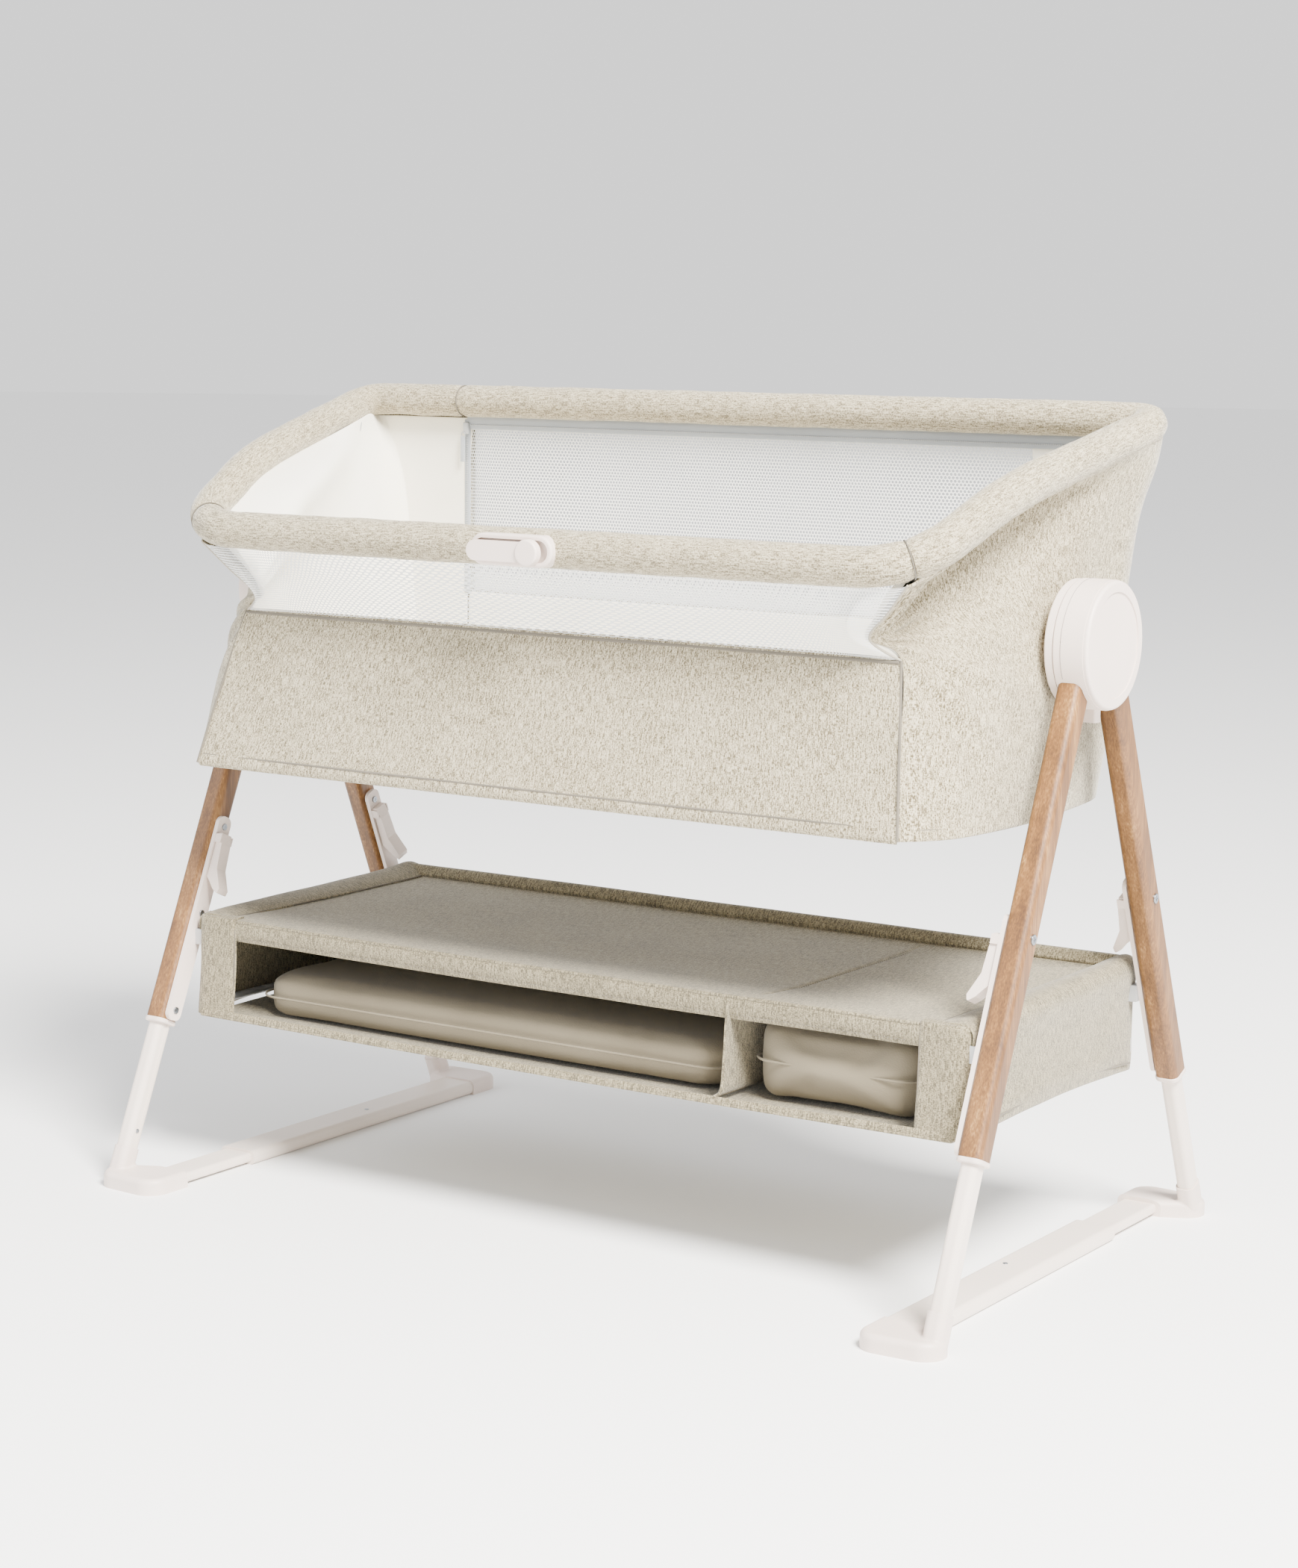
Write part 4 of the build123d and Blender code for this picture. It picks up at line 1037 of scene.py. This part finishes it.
def build_shelf_end(name, side):
    """End wall that wraps over the wire loop, with the band that frames the open front."""
    top, base = SHELF_TOP_Z, SHELF_BASE_Z
    columns = []
    for y, belly, lift in ((-0.174, 0.0, 0.0), (-0.14, 0.0, 0.002), (-0.06, 0.002, 0.003),
                           (0.04, 0.002, 0.004), (0.13, 0.001, 0.006), (0.166, -0.001, 0.009),
                           (0.1765, -0.005, 0.007), (0.1795, -0.018, 0.005)):
        hem = 0.008 * (1 - min(1, (y / SHELF_HALF_Y) ** 2))
        columns.append([
            (0.4495 + belly, y * 1.02, base - 0.003 + hem), (0.4515 + belly, y * 1.01, base + 0.012 + hem),
            (0.451 + belly, y, 0.205), (0.452 + belly, y, 0.24),
            (0.4545 + belly, y, top - 0.006 + lift * 0.4), (0.45 + belly * 0.8, y, top + 0.001 + lift),
            (0.44 + belly * 0.2, y, top + 0.003 + lift), (0.426, y, top + 0.002 + lift * 0.5),
            (0.416, y, top - 0.0005),
        ])
    rows = patch(columns, 60, 40)
    for p in (p for row in rows for p in row):
        p.x += 0.0012 * noise.noise(Vector((p.y * 18, p.z * 22, 5.3 + side)))
    shelf_sheet(f"shelf_end_cloth_{name}", flip(rows, side), f"shelf_end_{name}")
    columns = [[(x, y - 0.006, base - 0.001), (x, y - 0.004, base + 0.02), (x, y - 0.001, 0.22),
                (x, y, top - 0.004), (x, y + 0.004, top + 0.0015), (x, y + 0.012, top + 0.0028)]
               for x, y in ((0.4515, -0.17), (0.448, -0.1765), (0.436, -0.179), (0.42, -0.1785),
                            (0.406, -0.178), (0.402, -0.1755))]
    band = flip(patch(columns, 20, 36), side)
    shelf_sheet(f"shelf_corner_band_{name}", band, None, 0.0022)
    seam = [(0.4165, -0.165, top + 0.0012), (0.4165, 0, top - 0.0002), (0.4165, 0.155, top + 0.0012)]
    edge = [(0.403, -0.1812, base + 0.004), (0.403, -0.1795, 0.21), (0.403, -0.1775, top - 0.008)]
    low = [(0.4532, y, base + 0.006 + 0.008 * (1 - (y / SHELF_HALF_Y) ** 2))
           for y in (-0.165, -0.08, 0, 0.08, 0.165)]
    for kind, line, count, radius in (("end_seam", seam, 40, 0.0009), ("band_hem", edge, 20, 0.0008),
                                      ("end_piping", low, 40, 0.0009)):
        path = through(mirrored(line, side), count)
        attach(cord_line(f"shelf_{kind}_{name}", path, radius, SEAM_THREAD), "stand")


# ---------- hard details

def disc_head(name, centre, direction, radius, height, material):
    """Low domed screw head, turned on its axis."""
    axis = Vector(direction).normalized()
    side = axis.orthogonal().normalized()
    other = axis.cross(side)
    rows = []
    for share, lift in ((1.0, -0.6), (1.0, 0.35), (0.94, 0.75), (0.75, 0.95), (0.4, 1.0), (0.12, 1.0)):
        rows.append([Vector(centre) + axis * height * lift + (side * cos(a) + other * sin(a)) * radius * share
                     for a in (2 * pi * k / 24 for k in range(24))])
    return settle(make_object(name, capped(name, rows), material), 40)


def build_hard_details():
    spots = {
        "bar_catch_left": ((-0.427, 0.072, 0.0152), (0, 0, 1), "lower_back_left"),
        "bar_catch_right": ((0.424, -0.035, 0.0152), (0, 0, 1), "lower_front_right"),
    }
    for name, (centre, direction, body) in spots.items():
        attach(disc_head(name, centre, direction, 0.0026, 0.0006, ZINC_PLATE), body)
    z = TUBE_SCREW_Z
    for end_name, end in (("front", -1), ("back", 1)):
        y = end * (LEG_HUB_Y + (HUB_Z - z) * tan(LEG_TILT))
        for side_name, side in SIDES.items():
            leg = f"{end_name}_{side_name}"
            centre = (side * (LEG_X - 0.0079), y, z)
            head = disc_head(f"tube_screw_{leg}", centre, (-side, 0, 0), 0.0024, 0.0007, ZINC_PLATE)
            attach(head, f"lower_{leg}")
    # A thin dark arc on each hub where its halves meet: painted shadow of the groove there
    for name, side in SIDES.items():
        arc = [Vector((side * 0.4722, HUB_LINE_RADIUS * sin(a), HUB_Z + HUB_LINE_RADIUS * cos(a)))
               for a in (radians(turn) for turn in range(-118, 119, 4))]
        line = cord_line(f"hub_split_shadow_line_{name}", arc, 0.0003, SHADOW_GAP, 6)
        attach(line, "stand")


def paint_frame():
    """Materials for the pieces that keep their CAD shape."""
    slots = {s["node"]: s["material_slot"] for s in frame["record"]["subparts"]}
    finish = {"white_tube": POWDER_COAT, "white_plastic": MOULDED_ABS, "steel": ZINC_PLATE,
              "frame_steel": GREY_STEEL}
    for name, piece in frame["nodes"].items():
        if name.startswith("wood_leg"):
            material = OAK_FRONT if "front" in name else OAK_BACK
        else:
            material = finish.get(slots[name], TUB_CLOTH)
        for held in piece.material_slots:
            held.material = material


# ---------- studio

def build_studio():
    """Pale floor, even daylight from all round and one soft lamp above the right."""
    solid = bmesh.new()
    bmesh.ops.create_circle(solid, cap_ends=True, radius=40, segments=96)
    paint, tree, principled = start_material("pale_matt_floor", Roughness=0.95)
    principled.inputs["Base Color"].default_value = srgb("F7F7F7")
    principled.inputs["Specular IOR Level"].default_value = 0.1
    make_object("floor", mesh_of("floor", solid), paint)
    world = bpy.data.worlds.new("daylight")
    bpy.context.scene.world = world
    world.use_nodes = True
    sky = world.node_tree.nodes["Background"].inputs
    sky["Color"].default_value = srgb("FFFFFF")
    sky["Strength"].default_value = 1.35
    lamps = (("key", (2.9, -1.6, 3.8), 1.8, 1380, "FFFCF6"), ("fill", (-2.8, -2.6, 2.4), 3.5, 70, "F7FAFF"))
    for name, spot, size, power, colour in lamps:
        lamp = bpy.data.lights.new(name, "AREA")
        lamp.shape = "DISK"
        lamp.size = size
        lamp.energy = power
        lamp.color = srgb(colour)[:3]
        holder = bpy.data.objects.new(name, lamp)
        holder.location = spot
        holder.rotation_euler = (Vector((0, 0, 0.4)) - Vector(spot)).to_track_quat("-Z", "Y").to_euler()
        bpy.context.scene.collection.objects.link(holder)


def build_camera():
    """Camera at the height of the rim, before the right front corner."""
    azimuth, pitch, turn = radians(33.28), radians(8.15), radians(0.81)
    ahead = Vector((-sin(azimuth) * cos(pitch), cos(azimuth) * cos(pitch), -sin(pitch)))
    level = Vector((cos(azimuth), sin(azimuth), 0))
    upright = level.cross(ahead)
    right = level * cos(turn) + upright * sin(turn)
    up = upright * cos(turn) - level * sin(turn)
    data = bpy.data.cameras.new("camera")
    data.sensor_width = 36.0
    data.lens = CAMERA_LENS
    data.clip_end = 200
    camera = bpy.data.objects.new("camera", data)
    facing = Matrix((right, up, -ahead)).transposed().to_4x4()
    camera.matrix_world = Matrix.Translation(CAMERA_SPOT) @ facing
    bpy.context.scene.collection.objects.link(camera)
    bpy.context.scene.camera = camera


build_camera()
build_studio()
paint_frame()
build_rim()
build_ends()
build_front()
build_back()
build_base()
build_pads()
build_shelf()
build_hard_details()
